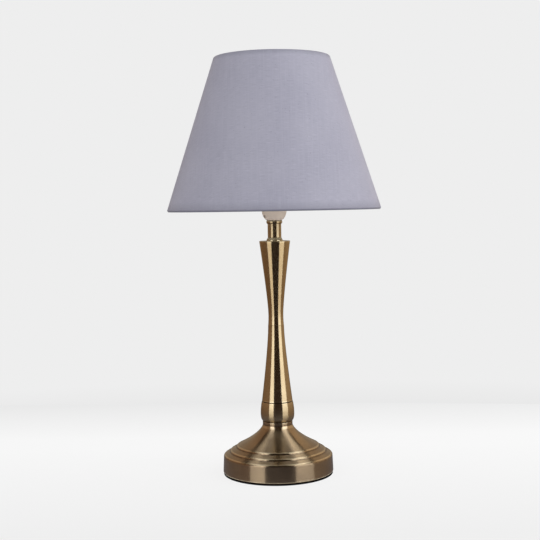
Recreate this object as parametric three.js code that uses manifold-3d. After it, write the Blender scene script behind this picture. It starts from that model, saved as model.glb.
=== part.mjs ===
// Table lamp: a tapered fabric shade on a turned brass stem with a stepped, weighted base.
// Millimetres, +Z up. The origin is the middle of the underside, on the surface that the lamp stands on.
import * as THREE from 'three';
import { mergeVertices } from 'three/addons/utils/BufferGeometryUtils.js';
import Module from 'manifold-3d';

const wasm = await Module();
wasm.setup();

// Clearances
const FIT = 0.4; // radial gap between a round piece and the hole or wall round it
const SEAT = 0.3; // gap between a piece and the curved or soft piece that it lies against

// Foot and base shell
const FELT_T = 2;
const FELT_INSET = 0.6; // felt edge inside the shell's rim
const BASE_R = 65;
const SHELL_WALL = 1.3;
const SIDE_H = 19.9;
const SIDE_LEAN = 0.84; // how far the side leans in from the rim to its top
const EDGE_W = 1.45; // soft edge between the side and the lowest tread
const EDGE_H = 1.4;
const TREAD_W = 5.75;
const TREAD_RISE = 2.97;
const RISER_W = 1.95;
const RISER_H = 2.32;
const UPRIGHT_W = 0.6; // each riser's foot stands nearly upright
const UPRIGHT_H = 1.5;
const BASE_TREADS = 2;
const BASE_ROUNDING = 1.3;
const ROOT_ROUNDING = 0.3;
const FLARE_H = 24;
const FLARE_NECK_HANDLE = 2.95; // how far the flare follows the neck before it turns out
const FLARE_FOOT_REACH = 23.05; // where the flare's foot heads for, inwards and upwards
const FLARE_FOOT_LIFT = 10.9;
const NECK_R = 17.6;
const NECK_H = 4.2;

// Inside the base
const PLATE_T = 1.2;
const BALLAST_T = 7;
const WASHER_R = 12;
const WASHER_T = 1.5;
const TAG_R = 9;
const TAG_T = 0.8;
const TAG_W = 4;
const TAG_REACH = 15.5;
const LOCK_R = 8.6;
const LOCK_T = 1;
const LOCK_SLIT = 0.12; // half the angle of the split, in radians
const NUT_FLATS = 14;
const NUT_T = 3.5;
const ROD_TAIL = 1; // threaded rod below its nut
const ROD_R = 5;
const ROD_BORE_R = 3.75;
const BUSH_R = 5.3;
const BUSH_BORE_R = 3.3;
const BUSH_FLANGE_R = 7;
const BUSH_FLANGE_T = 2;
const BUSH_INSIDE = 5; // how far the bush reaches in behind the shell's wall
const BUSH_CHAMFER = 0.8;
const BUSH_STANDOFF = 0.1; // flange face outside the shell's widest radius

// Terminal block and leads
const BLOCK_LENGTH = 26;
const BLOCK_DEPTH = 16;
const BLOCK_H = 10;
const BLOCK_TO_BUSH = 11.7; // room for the lead to spread behind the bush
const BLOCK_Y = BASE_R - SHELL_WALL - BUSH_INSIDE - BLOCK_TO_BUSH - BLOCK_DEPTH; // its near face
const POLE_PITCH = 8;
const POLE_H = 5; // wire holes above the plate
const POLE_DEPTH = 6;
const LEAD_R = 1;
const LEAD_IN = 4; // how far a lead goes into its hole
const LEAD_SPREAD = 1.6; // each lead beside the rod's axis
const BEND = 4.5; // the leads' bend under the rod
const BLOCK_SCREW_R = 1.5;
const BLOCK_SCREW_LENGTH = 5;

// Stem
const COLLAR_H = 23.2;
const COLLAR_R = 19.85;
const COLLAR_TOP_R = 18.4;
const COLLAR_BELLY_Z = 8.6; // widest height above the neck
const COLLAR_FOOT_ROUNDING = 2.6;
const LOWER_H = 89.9;
const UPPER_H = 98.9;
const WAIST_ABOVE_JOINT = 11;
const WAIST_R = 8.73;
const LOWER_TOP_R = 9.35; // stands a little proud of the upper spindle at the joint
const SPINDLE_FOOT_R = 18.05;
const SPINDLE_TOP_R = 18.15;
const LOWER_STRAIGHT = 20.6; // where each taper's end slope aims at its narrow end
const UPPER_STRAIGHT = 17.4;
const SPINDLE_WALL = 1.6;
const WEB_T = 2;
const REGISTER_H = 3;
const GROOVE_ROUNDING = 0.5;
const TOP_ROUNDING = 1.2;
const NECK_FOOT_R = 9.55;
const NECK_FOOT_H = 3.9;
const NECK_FOOT_EDGE = 0.8;
const NECK_TUBE_R = 8;
const NECK_TUBE_H = 16;
const NECK_TUBE_WALL = 1.3;
const BEAD_R = 9.3;
const BEAD_H = 4.2;
const BEAD_ROUNDING = 0.9;

// Lampholder, for a 14 mm screw cap
const CAP_FOOT_R = 9;
const CAP_SHOULDER_R = 14.3;
const CAP_SHOULDER_Z = 8.7;
const CAP_CHEEK_R = 13; // the curve of the dome aims through this radius and height
const CAP_CHEEK_Z = 2.5;
const CAP_R = 15;
const CAP_H = 16;
const CAP_WALL = 1.8;
const CAP_FLOOR = 3.2;
const CAP_LEDGE = 1.5;
const BOSS_R = 8;
const BOSS_H = 7;
const ROD_IN_CAP = 6.4;
const LOCK_SCREW_R = 1.5;
const LOCK_SCREW_Z = 4.9;
const LOCK_SCREW_LENGTH = 6.6;
const LOCK_SCREW_TURN = 62; // degrees from the front, towards -X
const INSULATOR_SKIRT = 2.5; // insulator below its flange
const INSULATOR_TOP = 10; // insulator disc above the cap's rim
const INSULATOR_TUBE_H = 19;
const INSULATOR_TUBE_WALL = 1.8;
const SHELL_T = 0.6;
const SHELL_H = 18.5;
const CONTACT_H = 3.4;
const CONTACT_T = 0.5;
const CONTACT_W = 4;
const CONTACT_REACH = 3.2;
const HOLDER_SCREW_X = 8;
const HOLDER_SCREW_R = 1.3;
const HOLDER_SCREW_HEAD_R = 2.2;
const HOLDER_SCREW_HEAD_H = 1.6;
const HOLDER_SCREW_LENGTH = 5;
const HOLDER_LEAD_X = 4.4;
const SKIRT_BORE_R = 12;
const SKIRT_H = 35.4;
const SKIRT_FLANGE_R = 17.6;
const SKIRT_FLANGE_Z = 7; // top of the flange above the cap
const SKIRT_FLANGE_T = 2.5;
const SKIRT_THREAD_R = 14;
const SKIRT_LIP_T = 2;
const SKIRT_LIP_R = 9.3;
const SCREW_SLOT_W = 0.7;
const SCREW_SLOT_DEPTH = 0.6;

// Shade fitting
const REDUCER_FLANGE_R = 24.2;
const REDUCER_FLANGE_T = 1.2;
const FITTER_BORE_R = 21;
const FITTER_R = 24.5;
const FITTER_T = 2.4;
const CLAMP_R = 22;
const CLAMP_LOBES = 24;
const CLAMP_LOBE_DEPTH = 0.7;
const CLAMP_FLANGE_T = 2.2;
const CLAMP_HUB_R = 17.8;
const CLAMP_H = 8.4;

// Shade
const SHADE_DROP = 11.8; // bottom edge of the shade below the lampholder's flange
const SHADE_H = 177.3;
const RING_BOTTOM_R = 122.4;
const RING_TOP_R = 65.9;
const WIRE_R = 1.2;
const SPOKES = 3;
const SPOKE_LEVEL = 12; // level stretch at each end of a spoke
const COVER_T = 0.4;
const LINER_T = 0.5;
const HEM = 8;

// Bulb
const BULB_R = 18;
const BULB_H = 98;
const TIP_R = 2.3;
const TIP_H = 1.2;
const GLASS_R = 3.3;
const GLASS_H = 3.2;
const THREAD_R = 6.95;
const THREAD_TOP = 18.5;
const CAP_TOP_R = 8.3;
const CAP_FLARE_TOP = 22;
const BULB_CAP_H = 25;
const BULB_CAP_T = 0.5;
const CAP_HOLE_R = 4;
const HOUSING_SPIGOT = 14;
const HOUSING_FOOT_R = 8.7;
const HOUSING_TOP_R = 17.4;
const HOUSING_H = 29;
const BOARD_R = 14;
const BOARD_T = 1.2;
const DOME_WALL = 1.2;
const DOME_BELLY = 8; // widest height above the housing
const DOME_TIP_R = 1.6;

// Facets round a full turn, along a rounded corner and along a long curve
const SHADE_STEPS = 48;
const BASE_STEPS = 40;
const STEM_STEPS = 24;
const SMALL_STEPS = 12;
const WIRE_SIDES = 6;
const ROUND_STEPS = 2;
const CURVE_STEPS = 8;
const LEAD_STEPS = 3; // between two points of a lead's route

// Heights of the seats, from the floor up
const PLATE_TOP = FELT_T + PLATE_T;
const SIDE_TOP = FELT_T + SIDE_H;
const STEPS_TOP = SIDE_TOP + EDGE_H + BASE_TREADS * (TREAD_RISE + RISER_H);
const BASE_TOP = STEPS_TOP + FLARE_H + NECK_H;
const COLLAR_TOP = BASE_TOP + COLLAR_H;
const JOINT_Z = COLLAR_TOP + LOWER_H;
const WAIST_Z = JOINT_Z + WAIST_ABOVE_JOINT;
const SPINDLE_TOP = JOINT_Z + UPPER_H;
const NECK_TUBE_Z = SPINDLE_TOP + NECK_FOOT_H;
const BEAD_Z = NECK_TUBE_Z + NECK_TUBE_H;
const HOLDER_Z = BEAD_Z + BEAD_H;
const FLANGE_TOP = HOLDER_Z + CAP_H + SKIRT_FLANGE_Z;
const BULB_Z = HOLDER_Z + CAP_H + INSULATOR_TOP + CONTACT_H;
const ROD_TOP = HOLDER_Z + ROD_IN_CAP;
const BALLAST_TOP = SIDE_TOP + EDGE_H - SHELL_WALL - SEAT;
const BALLAST_Z = BALLAST_TOP - BALLAST_T;
const TAG_Z = BALLAST_Z - WASHER_T - TAG_T;
const LOCK_Z = TAG_Z - LOCK_T;
const NUT_Z = LOCK_Z - NUT_T;
const ROD_Z = NUT_Z - ROD_TAIL;
const BUSH_Z = (PLATE_TOP + BALLAST_Z) / 2;

// Radii shared by neighbours
const ROD_HOLE_R = ROD_R + FIT;
const SHELL_R = THREAD_R + FIT; // inside of the lampholder's threaded shell
const INSULATOR_BORE_R = SHELL_R + SHELL_T + FIT;
const RING_HOLE_R = SKIRT_THREAD_R + FIT;
const LEAD_HOLE_R = LEAD_R + FIT;

// Finishes
const BRASS = { color: 0x8f7650, metalness: 0.9, roughness: 0.35 };
const PLATED = { color: 0xc9b27a, metalness: 0.9, roughness: 0.3 };
const STEEL = { color: 0x9a9c9e, metalness: 0.9, roughness: 0.4 };
const IRON = { color: 0x3b3b3d, metalness: 0.5, roughness: 0.8 };
const FELT = { color: 0x17140f, metalness: 0, roughness: 1 };
const BOARD = { color: 0x6e5136, metalness: 0, roughness: 0.9 };
const CREAM = { color: 0xd6cbb9, metalness: 0, roughness: 0.45 };
const WHITE = { color: 0xeeece6, metalness: 0, roughness: 0.4 };
const BLACK = { color: 0x1c1c1e, metalness: 0, roughness: 0.5 };
const FABRIC = { color: 0x9f9dae, metalness: 0, roughness: 0.9 };
const LINER = { color: 0xf2f1ec, metalness: 0, roughness: 0.5 };
const OPAL = { color: 0xf6f3ea, metalness: 0, roughness: 0.25 };
const BROWN = { color: 0x6b3f22, metalness: 0, roughness: 0.6 };
const BLUE = { color: 0x2f5fa8, metalness: 0, roughness: 0.6 };
const GREEN = { color: 0x7fa03a, metalness: 0, roughness: 0.6 };

const lamp = new THREE.Group();

// Adds a named piece to a group.
function piece(name, geometry, finish, group = lamp) {
  const mesh = new THREE.Mesh(geometry, new THREE.MeshStandardMaterial(finish));
  mesh.name = name;
  group.add(mesh);
  return mesh;
}

// A sub-assembly whose own zero lies at a height on the lamp's axis.
function assembly(z) {
  const group = new THREE.Group();
  group.position.z = z;
  lamp.add(group);
  return group;
}

// Points through [radius, height, rounding] corners. A rounded corner becomes a short curve, whose
// reach along each side is limited by that side's length.
function rounded(corners) {
  const at = (i) => new THREE.Vector2(corners[i][0], corners[i][1]);
  return corners.flatMap(([, , rounding = 0], i) => {
    if (!rounding) return [at(i)];
    const beside = (j) => {
      const side = at(j).sub(at(i));
      return at(i).add(side.setLength(Math.min(rounding, 0.45 * side.length())));
    };
    return new THREE.QuadraticBezierCurve(beside(i - 1), at(i), beside(i + 1)).getPoints(ROUND_STEPS);
  });
}

// A piece turned about the lamp's axis. Its outline goes up on the outside and down on the inside; one
// that doesn't start on the axis is closed on itself.
function turned(points, steps) {
  const outline = points[0].x === 0 ? points : [...points, points[0]];
  return new THREE.LatheGeometry(outline, steps).rotateX(Math.PI / 2);
}

// A plain ring, sleeve or washer between two radii and two heights.
function ring(inner, outer, bottom, top, steps) {
  return turned(rounded([[outer, bottom], [outer, top], [inner, top], [inner, bottom]]), steps);
}

// A plain disc or pin on the lamp's axis.
function disc(radius, bottom, top, steps) {
  return turned(rounded([[0, bottom], [radius, bottom], [radius, top], [0, top]]), steps);
}

// A flat outline raised by a thickness.
function plate(shape, thickness, curveSegments = SMALL_STEPS) {
  return new THREE.ExtrudeGeometry(shape, { depth: thickness, bevelEnabled: false, curveSegments });
}

// A closed geometry as a solid that can be cut and joined.
function solidOf(geometry) {
  const bare = geometry.clone();
  bare.deleteAttribute('normal');
  bare.deleteAttribute('uv');
  const merged = mergeVertices(bare);
  const triangles = [];
  for (let i = 0; i < merged.index.count; i += 3) {
    const [a, b, c] = [0, 1, 2].map((k) => merged.index.getX(i + k));
    if (a !== b && b !== c && c !== a) triangles.push(a, b, c);
  }
  return new wasm.Manifold(new wasm.Mesh({
    numProp: 3,
    vertProperties: new Float32Array(merged.attributes.position.array),
    triVerts: new Uint32Array(triangles),
  }));
}

function geometryOf(solid) {
  const mesh = solid.getMesh();
  const geometry = new THREE.BufferGeometry();
  geometry.setAttribute('position', new THREE.BufferAttribute(mesh.vertProperties, 3));
  geometry.setIndex(new THREE.BufferAttribute(mesh.triVerts, 1));
  geometry.computeVertexNormals();
  return geometry;
}

function cut(body, tools) {
  return geometryOf(tools.reduce((rest, tool) => rest.subtract(solidOf(tool)), solidOf(body)));
}

function join(parts) {
  return geometryOf(parts.slice(1).reduce((sum, part) => sum.add(solidOf(part)), solidOf(parts[0])));
}

// A slotted screw on its own axis: its head's face at zero, facing down, with the shank above.
function screw(shankR, length, headR = shankR, headH = 0) {
  const outline = [[0, 0], [headR, 0], [headR, headH], [shankR, headH], [shankR, length + headH],
    [0, length + headH]];
  const corners = headH ? outline : outline.filter((point, i) => i !== 2 && i !== 3);
  const body = turned(rounded(corners), SMALL_STEPS);
  const slot = new THREE.BoxGeometry(SCREW_SLOT_W, 4 * headR, 2 * SCREW_SLOT_DEPTH);
  return cut(body, [slot]);
}

// The outside of the base, from its rim up to the top of its neck.
function baseOutside() {
  let [r, z] = [BASE_R - SIDE_LEAN, SIDE_TOP];
  const corners = [[BASE_R, FELT_T], [r, z, BASE_ROUNDING]];
  r -= EDGE_W;
  z += EDGE_H;
  corners.push([r, z, BASE_ROUNDING]);
  for (let i = 0; i < BASE_TREADS; i += 1) {
    r -= TREAD_W;
    z += TREAD_RISE;
    corners.push([r, z, ROOT_ROUNDING], [r - UPRIGHT_W, z + UPRIGHT_H, BASE_ROUNDING]);
    r -= RISER_W;
    z += RISER_H;
    corners.push([r, z, ROOT_ROUNDING]);
  }
  const flare = new THREE.CubicBezierCurve(
    new THREE.Vector2(r, z),
    new THREE.Vector2(r - FLARE_FOOT_REACH, z + FLARE_FOOT_LIFT),
    new THREE.Vector2(NECK_R, z + FLARE_H - FLARE_NECK_HANDLE),
    new THREE.Vector2(NECK_R, z + FLARE_H),
  );
  corners.push(...flare.getPoints(CURVE_STEPS).slice(1).map((p) => [p.x, p.y]));
  corners.push([NECK_R, BASE_TOP]);
  return corners;
}

// The spun shell: its inside is its outside moved in and down by the wall.
function baseShell() {
  const outside = baseOutside();
  const inside = outside.slice(1).reverse().map(([r, z]) => [r - SHELL_WALL, z - SHELL_WALL]);
  const shell = turned(rounded([
    ...outside,
    [ROD_HOLE_R, BASE_TOP],
    [ROD_HOLE_R, BASE_TOP - SHELL_WALL],
    ...inside,
    [BASE_R - SHELL_WALL, FELT_T],
  ]), BASE_STEPS);
  const hole = new THREE.CylinderGeometry(BUSH_R + FIT, BUSH_R + FIT, BASE_R, STEM_STEPS)
    .translate(0, BASE_R, BUSH_Z);
  return cut(shell, [hole]);
}

// Two discs of iron that fill the shell below its lowest and its top riser.
function ballast() {
  const rimR = BASE_R - SIDE_LEAN - EDGE_W - SHELL_WALL - FIT;
  const stepR = rimR - BASE_TREADS * TREAD_W - (BASE_TREADS - 1) * RISER_W;
  const stepTop = STEPS_TOP - RISER_H - SHELL_WALL - SEAT;
  return turned(rounded([
    [rimR, BALLAST_Z], [rimR, BALLAST_TOP], [stepR, BALLAST_TOP], [stepR, stepTop],
    [ROD_HOLE_R, stepTop], [ROD_HOLE_R, BALLAST_Z],
  ]), BASE_STEPS);
}

function earthTag() {
  const side = Math.asin(TAG_W / 2 / TAG_R);
  const shape = new THREE.Shape();
  shape.absarc(0, 0, TAG_R, Math.PI / 2 + side, 2.5 * Math.PI - side);
  shape.lineTo(TAG_W / 2, TAG_REACH);
  shape.lineTo(-TAG_W / 2, TAG_REACH);
  shape.holes.push(new THREE.Path().absarc(0, 0, ROD_HOLE_R, 0, 2 * Math.PI));
  return plate(shape, TAG_T).translate(0, 0, TAG_Z);
}

function lockWasher() {
  const shape = new THREE.Shape();
  shape.absarc(0, 0, LOCK_R, LOCK_SLIT, 2 * Math.PI - LOCK_SLIT);
  shape.absarc(0, 0, ROD_HOLE_R, 2 * Math.PI - LOCK_SLIT, LOCK_SLIT, true);
  return plate(shape, LOCK_T).translate(0, 0, LOCK_Z);
}

function hexNut() {
  const radius = NUT_FLATS / Math.sqrt(3);
  const corners = Array.from({ length: 6 }, (_, i) => {
    const angle = (i * Math.PI) / 3;
    return new THREE.Vector2(radius * Math.cos(angle), radius * Math.sin(angle));
  });
  const shape = new THREE.Shape(corners);
  shape.holes.push(new THREE.Path().absarc(0, 0, ROD_HOLE_R, 0, 2 * Math.PI));
  return plate(shape, NUT_T).translate(0, 0, NUT_Z);
}

// The bush that lines the lead's way in, at the back. It is turned upright, then laid along +Y.
function cordBush() {
  const flangeZ = BASE_R + BUSH_STANDOFF;
  return turned(rounded([
    [BUSH_R, BASE_R - SHELL_WALL - BUSH_INSIDE],
    [BUSH_R, flangeZ],
    [BUSH_FLANGE_R, flangeZ],
    [BUSH_FLANGE_R, flangeZ + BUSH_FLANGE_T, BUSH_CHAMFER],
    [BUSH_BORE_R, flangeZ + BUSH_FLANGE_T, BUSH_CHAMFER],
    [BUSH_BORE_R, BASE_R - SHELL_WALL - BUSH_INSIDE],
  ]), STEM_STEPS).rotateX(-Math.PI / 2).translate(0, 0, BUSH_Z);
}

// Places of the terminal block's poles across the lamp: live, earth, neutral.
const POLES = [-POLE_PITCH, 0, POLE_PITCH];

function terminalBlock() {
  const body = new THREE.BoxGeometry(BLOCK_LENGTH, BLOCK_DEPTH, BLOCK_H)
    .translate(0, BLOCK_Y + BLOCK_DEPTH / 2, PLATE_TOP + BLOCK_H / 2);
  const holes = POLES.flatMap((x) => {
    const wires = [BLOCK_Y, BLOCK_Y + BLOCK_DEPTH].map((y) => (
      new THREE.CylinderGeometry(LEAD_HOLE_R, LEAD_HOLE_R, 2 * POLE_DEPTH, SMALL_STEPS)
        .translate(x, y, PLATE_TOP + POLE_H)));
    const well = disc(BLOCK_SCREW_R + FIT, 0, 2 * BLOCK_SCREW_LENGTH, SMALL_STEPS)
      .translate(x, BLOCK_Y + BLOCK_DEPTH / 2, PLATE_TOP + BLOCK_H - BLOCK_SCREW_LENGTH);
    return [...wires, well];
  });
  return cut(body, holes);
}

// A block screw stands head up on the floor of its well, so it is turned over.
function blockScrew(x) {
  return screw(BLOCK_SCREW_R, BLOCK_SCREW_LENGTH).rotateX(Math.PI)
    .translate(x, BLOCK_Y + BLOCK_DEPTH / 2, PLATE_TOP + BLOCK_H);
}

// A route that steps evenly from point to point, so a long straight run takes no more steps than a bend.
class Route extends THREE.CatmullRomCurve3 {
  getPointAt(u, target) {
    return this.getPoint(u, target);
  }

  getTangentAt(u, target) {
    return this.getTangent(u, target);
  }
}

function lead(points) {
  const route = new Route(points.map((p) => new THREE.Vector3(...p)));
  const section = new THREE.Shape().absarc(0, 0, LEAD_R, 0, 2 * Math.PI);
  return new THREE.ExtrudeGeometry(section, {
    extrudePath: route, steps: LEAD_STEPS * (points.length - 1), curveSegments: 4,
  });
}

// A power lead: out of the block, under the rod, up through it and into the lampholder's insulator.
function powerLead(side) {
  const pole = PLATE_TOP + POLE_H;
  const low = PLATE_TOP + SEAT + LEAD_R;
  const inner = side * LEAD_SPREAD;
  const terminal = HOLDER_Z + CAP_H - CAP_LEDGE - INSULATOR_SKIRT;
  const risingX = inner + 0.35 * side * (HOLDER_LEAD_X - LEAD_SPREAD);
  return lead([
    [side * POLE_PITCH, BLOCK_Y + LEAD_IN, pole],
    [side * POLE_PITCH, BLOCK_Y - LEAD_R, pole],
    [side * 0.8 * POLE_PITCH, 0.7 * BLOCK_Y, (pole + low) / 2],
    [side * 0.45 * POLE_PITCH, 0.4 * BLOCK_Y, low],
    [inner, 1.6 * BEND, low],
    [inner, BEND, low],
    [inner, 0.3 * BEND, low + 0.3 * BEND],
    [inner, 0, low + BEND],
    [inner, 0, low + 2 * BEND],
    [inner, 0, ROD_TOP - BEND],
    [inner, 0, ROD_TOP],
    [risingX, 0, ROD_TOP + 0.3 * (terminal - ROD_TOP)],
    [side * HOLDER_LEAD_X, 0, ROD_TOP + 0.85 * (terminal - ROD_TOP)],
    [side * HOLDER_LEAD_X, 0, terminal + LEAD_R],
  ]);
}

// The earth lead ends face to face with the tag's tongue.
function earthLead() {
  const pole = PLATE_TOP + POLE_H;
  const tag = TAG_Z + TAG_T / 2;
  const gap = BLOCK_Y - TAG_REACH;
  return lead([
    [0, BLOCK_Y + LEAD_IN, pole],
    [0, BLOCK_Y - LEAD_R, pole],
    [0, BLOCK_Y - 0.4 * gap, (pole + tag) / 2],
    [0, BLOCK_Y - 0.75 * gap, tag],
    [0, TAG_REACH + SEAT, tag],
  ]);
}

function footCollar() {
  const belly = BASE_TOP + COLLAR_BELLY_Z;
  const barrel = new THREE.QuadraticBezierCurve(
    new THREE.Vector2(COLLAR_R, belly),
    new THREE.Vector2(COLLAR_R, (belly + COLLAR_TOP) / 2),
    new THREE.Vector2(COLLAR_TOP_R, COLLAR_TOP - GROOVE_ROUNDING),
  ).getPoints(ROUND_STEPS + 1);
  return turned(rounded([
    [NECK_R - SHELL_WALL, BASE_TOP],
    [NECK_R, BASE_TOP],
    [COLLAR_R, BASE_TOP + COLLAR_FOOT_ROUNDING / 2, COLLAR_FOOT_ROUNDING],
    ...barrel.map((p) => [p.x, p.y]),
    [COLLAR_TOP_R - GROOVE_ROUNDING, COLLAR_TOP],
    [ROD_HOLE_R, COLLAR_TOP],
    [ROD_HOLE_R, COLLAR_TOP - WEB_T],
    [NECK_R - SHELL_WALL, COLLAR_TOP - WEB_T],
  ]), STEM_STEPS);
}

// Radius of a taper at a way from its narrow end: a parabola that leaves that end straight.
function taperRadius(away, length, straight, narrow, wide) {
  const bow = length - 2 * straight;
  const t = away / (straight + Math.sqrt(straight * straight + bow * away));
  return narrow + (wide - narrow) * t * t;
}

function lowerRadius(z) {
  return taperRadius(JOINT_Z - z, LOWER_H, LOWER_STRAIGHT, LOWER_TOP_R, SPINDLE_FOOT_R);
}

// The upper spindle widens both ways from its waist, with the same taper.
function upperRadius(z) {
  const length = SPINDLE_TOP - WAIST_Z;
  return taperRadius(Math.abs(z - WAIST_Z), length, UPPER_STRAIGHT, WAIST_R, SPINDLE_TOP_R);
}

// A spindle's wall between two heights, as outline points going up.
function spindleWall(radiusAt, bottom, top, inset) {
  return Array.from({ length: CURVE_STEPS + 1 }, (_, i) => {
    const z = bottom + ((top - bottom) * i) / CURVE_STEPS;
    return [radiusAt(z) - inset, z];
  });
}

// The lower spindle closes at the waist joint with a web and a register that centres the upper one.
function lowerSpindle() {
  const registerR = upperRadius(JOINT_Z) - SPINDLE_WALL - SEAT;
  const outside = spindleWall(lowerRadius, COLLAR_TOP + GROOVE_ROUNDING, JOINT_Z, 0);
  const inside = spindleWall(lowerRadius, COLLAR_TOP, JOINT_Z - WEB_T, SPINDLE_WALL).reverse();
  return turned(rounded([
    [SPINDLE_FOOT_R - GROOVE_ROUNDING, COLLAR_TOP],
    ...outside,
    [registerR, JOINT_Z],
    [registerR, JOINT_Z + REGISTER_H],
    [ROD_HOLE_R, JOINT_Z + REGISTER_H],
    [ROD_HOLE_R, JOINT_Z - WEB_T],
    ...inside,
  ]), STEM_STEPS);
}

function upperSpindle() {
  const outside = spindleWall(upperRadius, JOINT_Z, SPINDLE_TOP, 0);
  const inside = spindleWall(upperRadius, JOINT_Z, SPINDLE_TOP - WEB_T, SPINDLE_WALL).reverse();
  outside[CURVE_STEPS].push(TOP_ROUNDING);
  return turned(rounded([
    ...outside,
    [ROD_HOLE_R, SPINDLE_TOP],
    [ROD_HOLE_R, SPINDLE_TOP - WEB_T],
    ...inside,
  ]), STEM_STEPS);
}

function neckFoot() {
  return turned(rounded([
    [NECK_FOOT_R, SPINDLE_TOP],
    [NECK_FOOT_R, SPINDLE_TOP + NECK_FOOT_EDGE],
    [NECK_TUBE_R, NECK_TUBE_Z],
    [ROD_HOLE_R, NECK_TUBE_Z],
    [ROD_HOLE_R, SPINDLE_TOP],
  ]), STEM_STEPS);
}

function neckBead() {
  return turned(rounded([
    [NECK_TUBE_R, BEAD_Z],
    [BEAD_R, BEAD_Z + BEAD_ROUNDING, BEAD_ROUNDING],
    [BEAD_R, HOLDER_Z, BEAD_ROUNDING],
    [ROD_HOLE_R, HOLDER_Z],
    [ROD_HOLE_R, BEAD_Z],
  ]), STEM_STEPS);
}

function baseAndStem() {
  piece('foot_pad', disc(BASE_R - FELT_INSET, 0, FELT_T, BASE_STEPS), FELT);
  piece('base_plate', disc(BASE_R - SHELL_WALL - FIT, FELT_T, PLATE_TOP, BASE_STEPS), BOARD);
  piece('base_shell', baseShell(), BRASS);
  piece('base_ballast', ballast(), IRON);
  piece('stem_rod', ring(ROD_BORE_R, ROD_R, ROD_Z, ROD_TOP, SMALL_STEPS), STEEL);
  piece('rod_washer', ring(ROD_HOLE_R, WASHER_R, BALLAST_Z - WASHER_T, BALLAST_Z, STEM_STEPS), STEEL);
  piece('earth_tag', earthTag(), PLATED);
  piece('rod_lock_washer', lockWasher(), STEEL);
  piece('rod_nut', hexNut(), STEEL);
  piece('cord_bush', cordBush(), BLACK);
  piece('terminal_block', terminalBlock(), WHITE);
  piece('terminal_screw_live', blockScrew(POLES[0]), STEEL);
  piece('terminal_screw_earth', blockScrew(POLES[1]), STEEL);
  piece('terminal_screw_neutral', blockScrew(POLES[2]), STEEL);
  piece('live_lead', powerLead(-1), BROWN);
  piece('neutral_lead', powerLead(1), BLUE);
  piece('earth_lead', earthLead(), GREEN);
  piece('foot_collar', footCollar(), BRASS);
  piece('lower_spindle', lowerSpindle(), BRASS);
  piece('upper_spindle', upperSpindle(), BRASS);
  piece('neck_foot', neckFoot(), BRASS);
  piece('neck_tube', ring(NECK_TUBE_R - NECK_TUBE_WALL, NECK_TUBE_R, NECK_TUBE_Z, BEAD_Z, STEM_STEPS), BRASS);
  piece('neck_bead', neckBead(), BRASS);
}

// The domed cap, with a threaded boss for the rod and a tapped hole for the lock screw.
function holderCap() {
  const ledgeR = CAP_R - CAP_WALL + FIT;
  const dome = new THREE.QuadraticBezierCurve(
    new THREE.Vector2(CAP_FOOT_R, 0),
    new THREE.Vector2(CAP_CHEEK_R, CAP_CHEEK_Z),
    new THREE.Vector2(CAP_SHOULDER_R, CAP_SHOULDER_Z),
  ).getPoints(2 * ROUND_STEPS);
  const body = turned(rounded([
    ...dome.map((p) => [p.x, p.y]),
    [CAP_R, CAP_H],
    [ledgeR, CAP_H],
    [ledgeR, CAP_H - CAP_LEDGE],
    [CAP_SHOULDER_R - CAP_WALL, CAP_H - CAP_LEDGE],
    [CAP_SHOULDER_R - CAP_WALL, CAP_SHOULDER_Z],
    [(BOSS_R + CAP_SHOULDER_R - CAP_WALL) / 2, CAP_FLOOR],
    [BOSS_R, CAP_FLOOR],
    [BOSS_R, BOSS_H],
    [ROD_HOLE_R, BOSS_H],
    [ROD_HOLE_R, 0],
  ]), STEM_STEPS);
  const reach = 2 * CAP_R;
  const hole = disc(LOCK_SCREW_R + SEAT, 0, reach, SMALL_STEPS).rotateX(Math.PI / 2)
    .translate(0, 0, LOCK_SCREW_Z).rotateZ(THREE.MathUtils.degToRad(-LOCK_SCREW_TURN));
  return cut(body, [hole]);
}

// The lock screw bears on the rod; its slotted end stays sunk in the cap.
function lockScrew() {
  return screw(LOCK_SCREW_R, LOCK_SCREW_LENGTH).rotateX(-Math.PI / 2)
    .translate(0, -(ROD_R + SEAT + LOCK_SCREW_LENGTH), LOCK_SCREW_Z)
    .rotateZ(THREE.MathUtils.degToRad(-LOCK_SCREW_TURN));
}

function holderInsulator() {
  const bottom = CAP_H - CAP_LEDGE - INSULATOR_SKIRT;
  const top = CAP_H + INSULATOR_TOP;
  const skirtR = CAP_SHOULDER_R - CAP_WALL - FIT;
  const body = turned(rounded([
    [0, bottom],
    [skirtR, bottom],
    [skirtR, CAP_H - CAP_LEDGE],
    [CAP_R - CAP_WALL, CAP_H - CAP_LEDGE],
    [CAP_R - CAP_WALL, CAP_H],
    [SKIRT_BORE_R - FIT, CAP_H],
    [SKIRT_BORE_R - FIT, top],
    [INSULATOR_BORE_R + INSULATOR_TUBE_WALL, top],
    [INSULATOR_BORE_R + INSULATOR_TUBE_WALL, top + INSULATOR_TUBE_H],
    [INSULATOR_BORE_R, top + INSULATOR_TUBE_H],
    [INSULATOR_BORE_R, top],
    [0, top],
  ]), STEM_STEPS);
  const holes = [-1, 1].flatMap((side) => [
    disc(HOLDER_SCREW_R + FIT, 0, 2 * HOLDER_SCREW_LENGTH, SMALL_STEPS)
      .translate(side * HOLDER_SCREW_X, 0, bottom - HOLDER_SCREW_LENGTH + FIT),
    disc(LEAD_HOLE_R, 0, 2 * (LEAD_R + SEAT), SMALL_STEPS)
      .translate(side * HOLDER_LEAD_X, 0, bottom - LEAD_R - SEAT),
  ]);
  return cut(body, holes);
}

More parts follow.
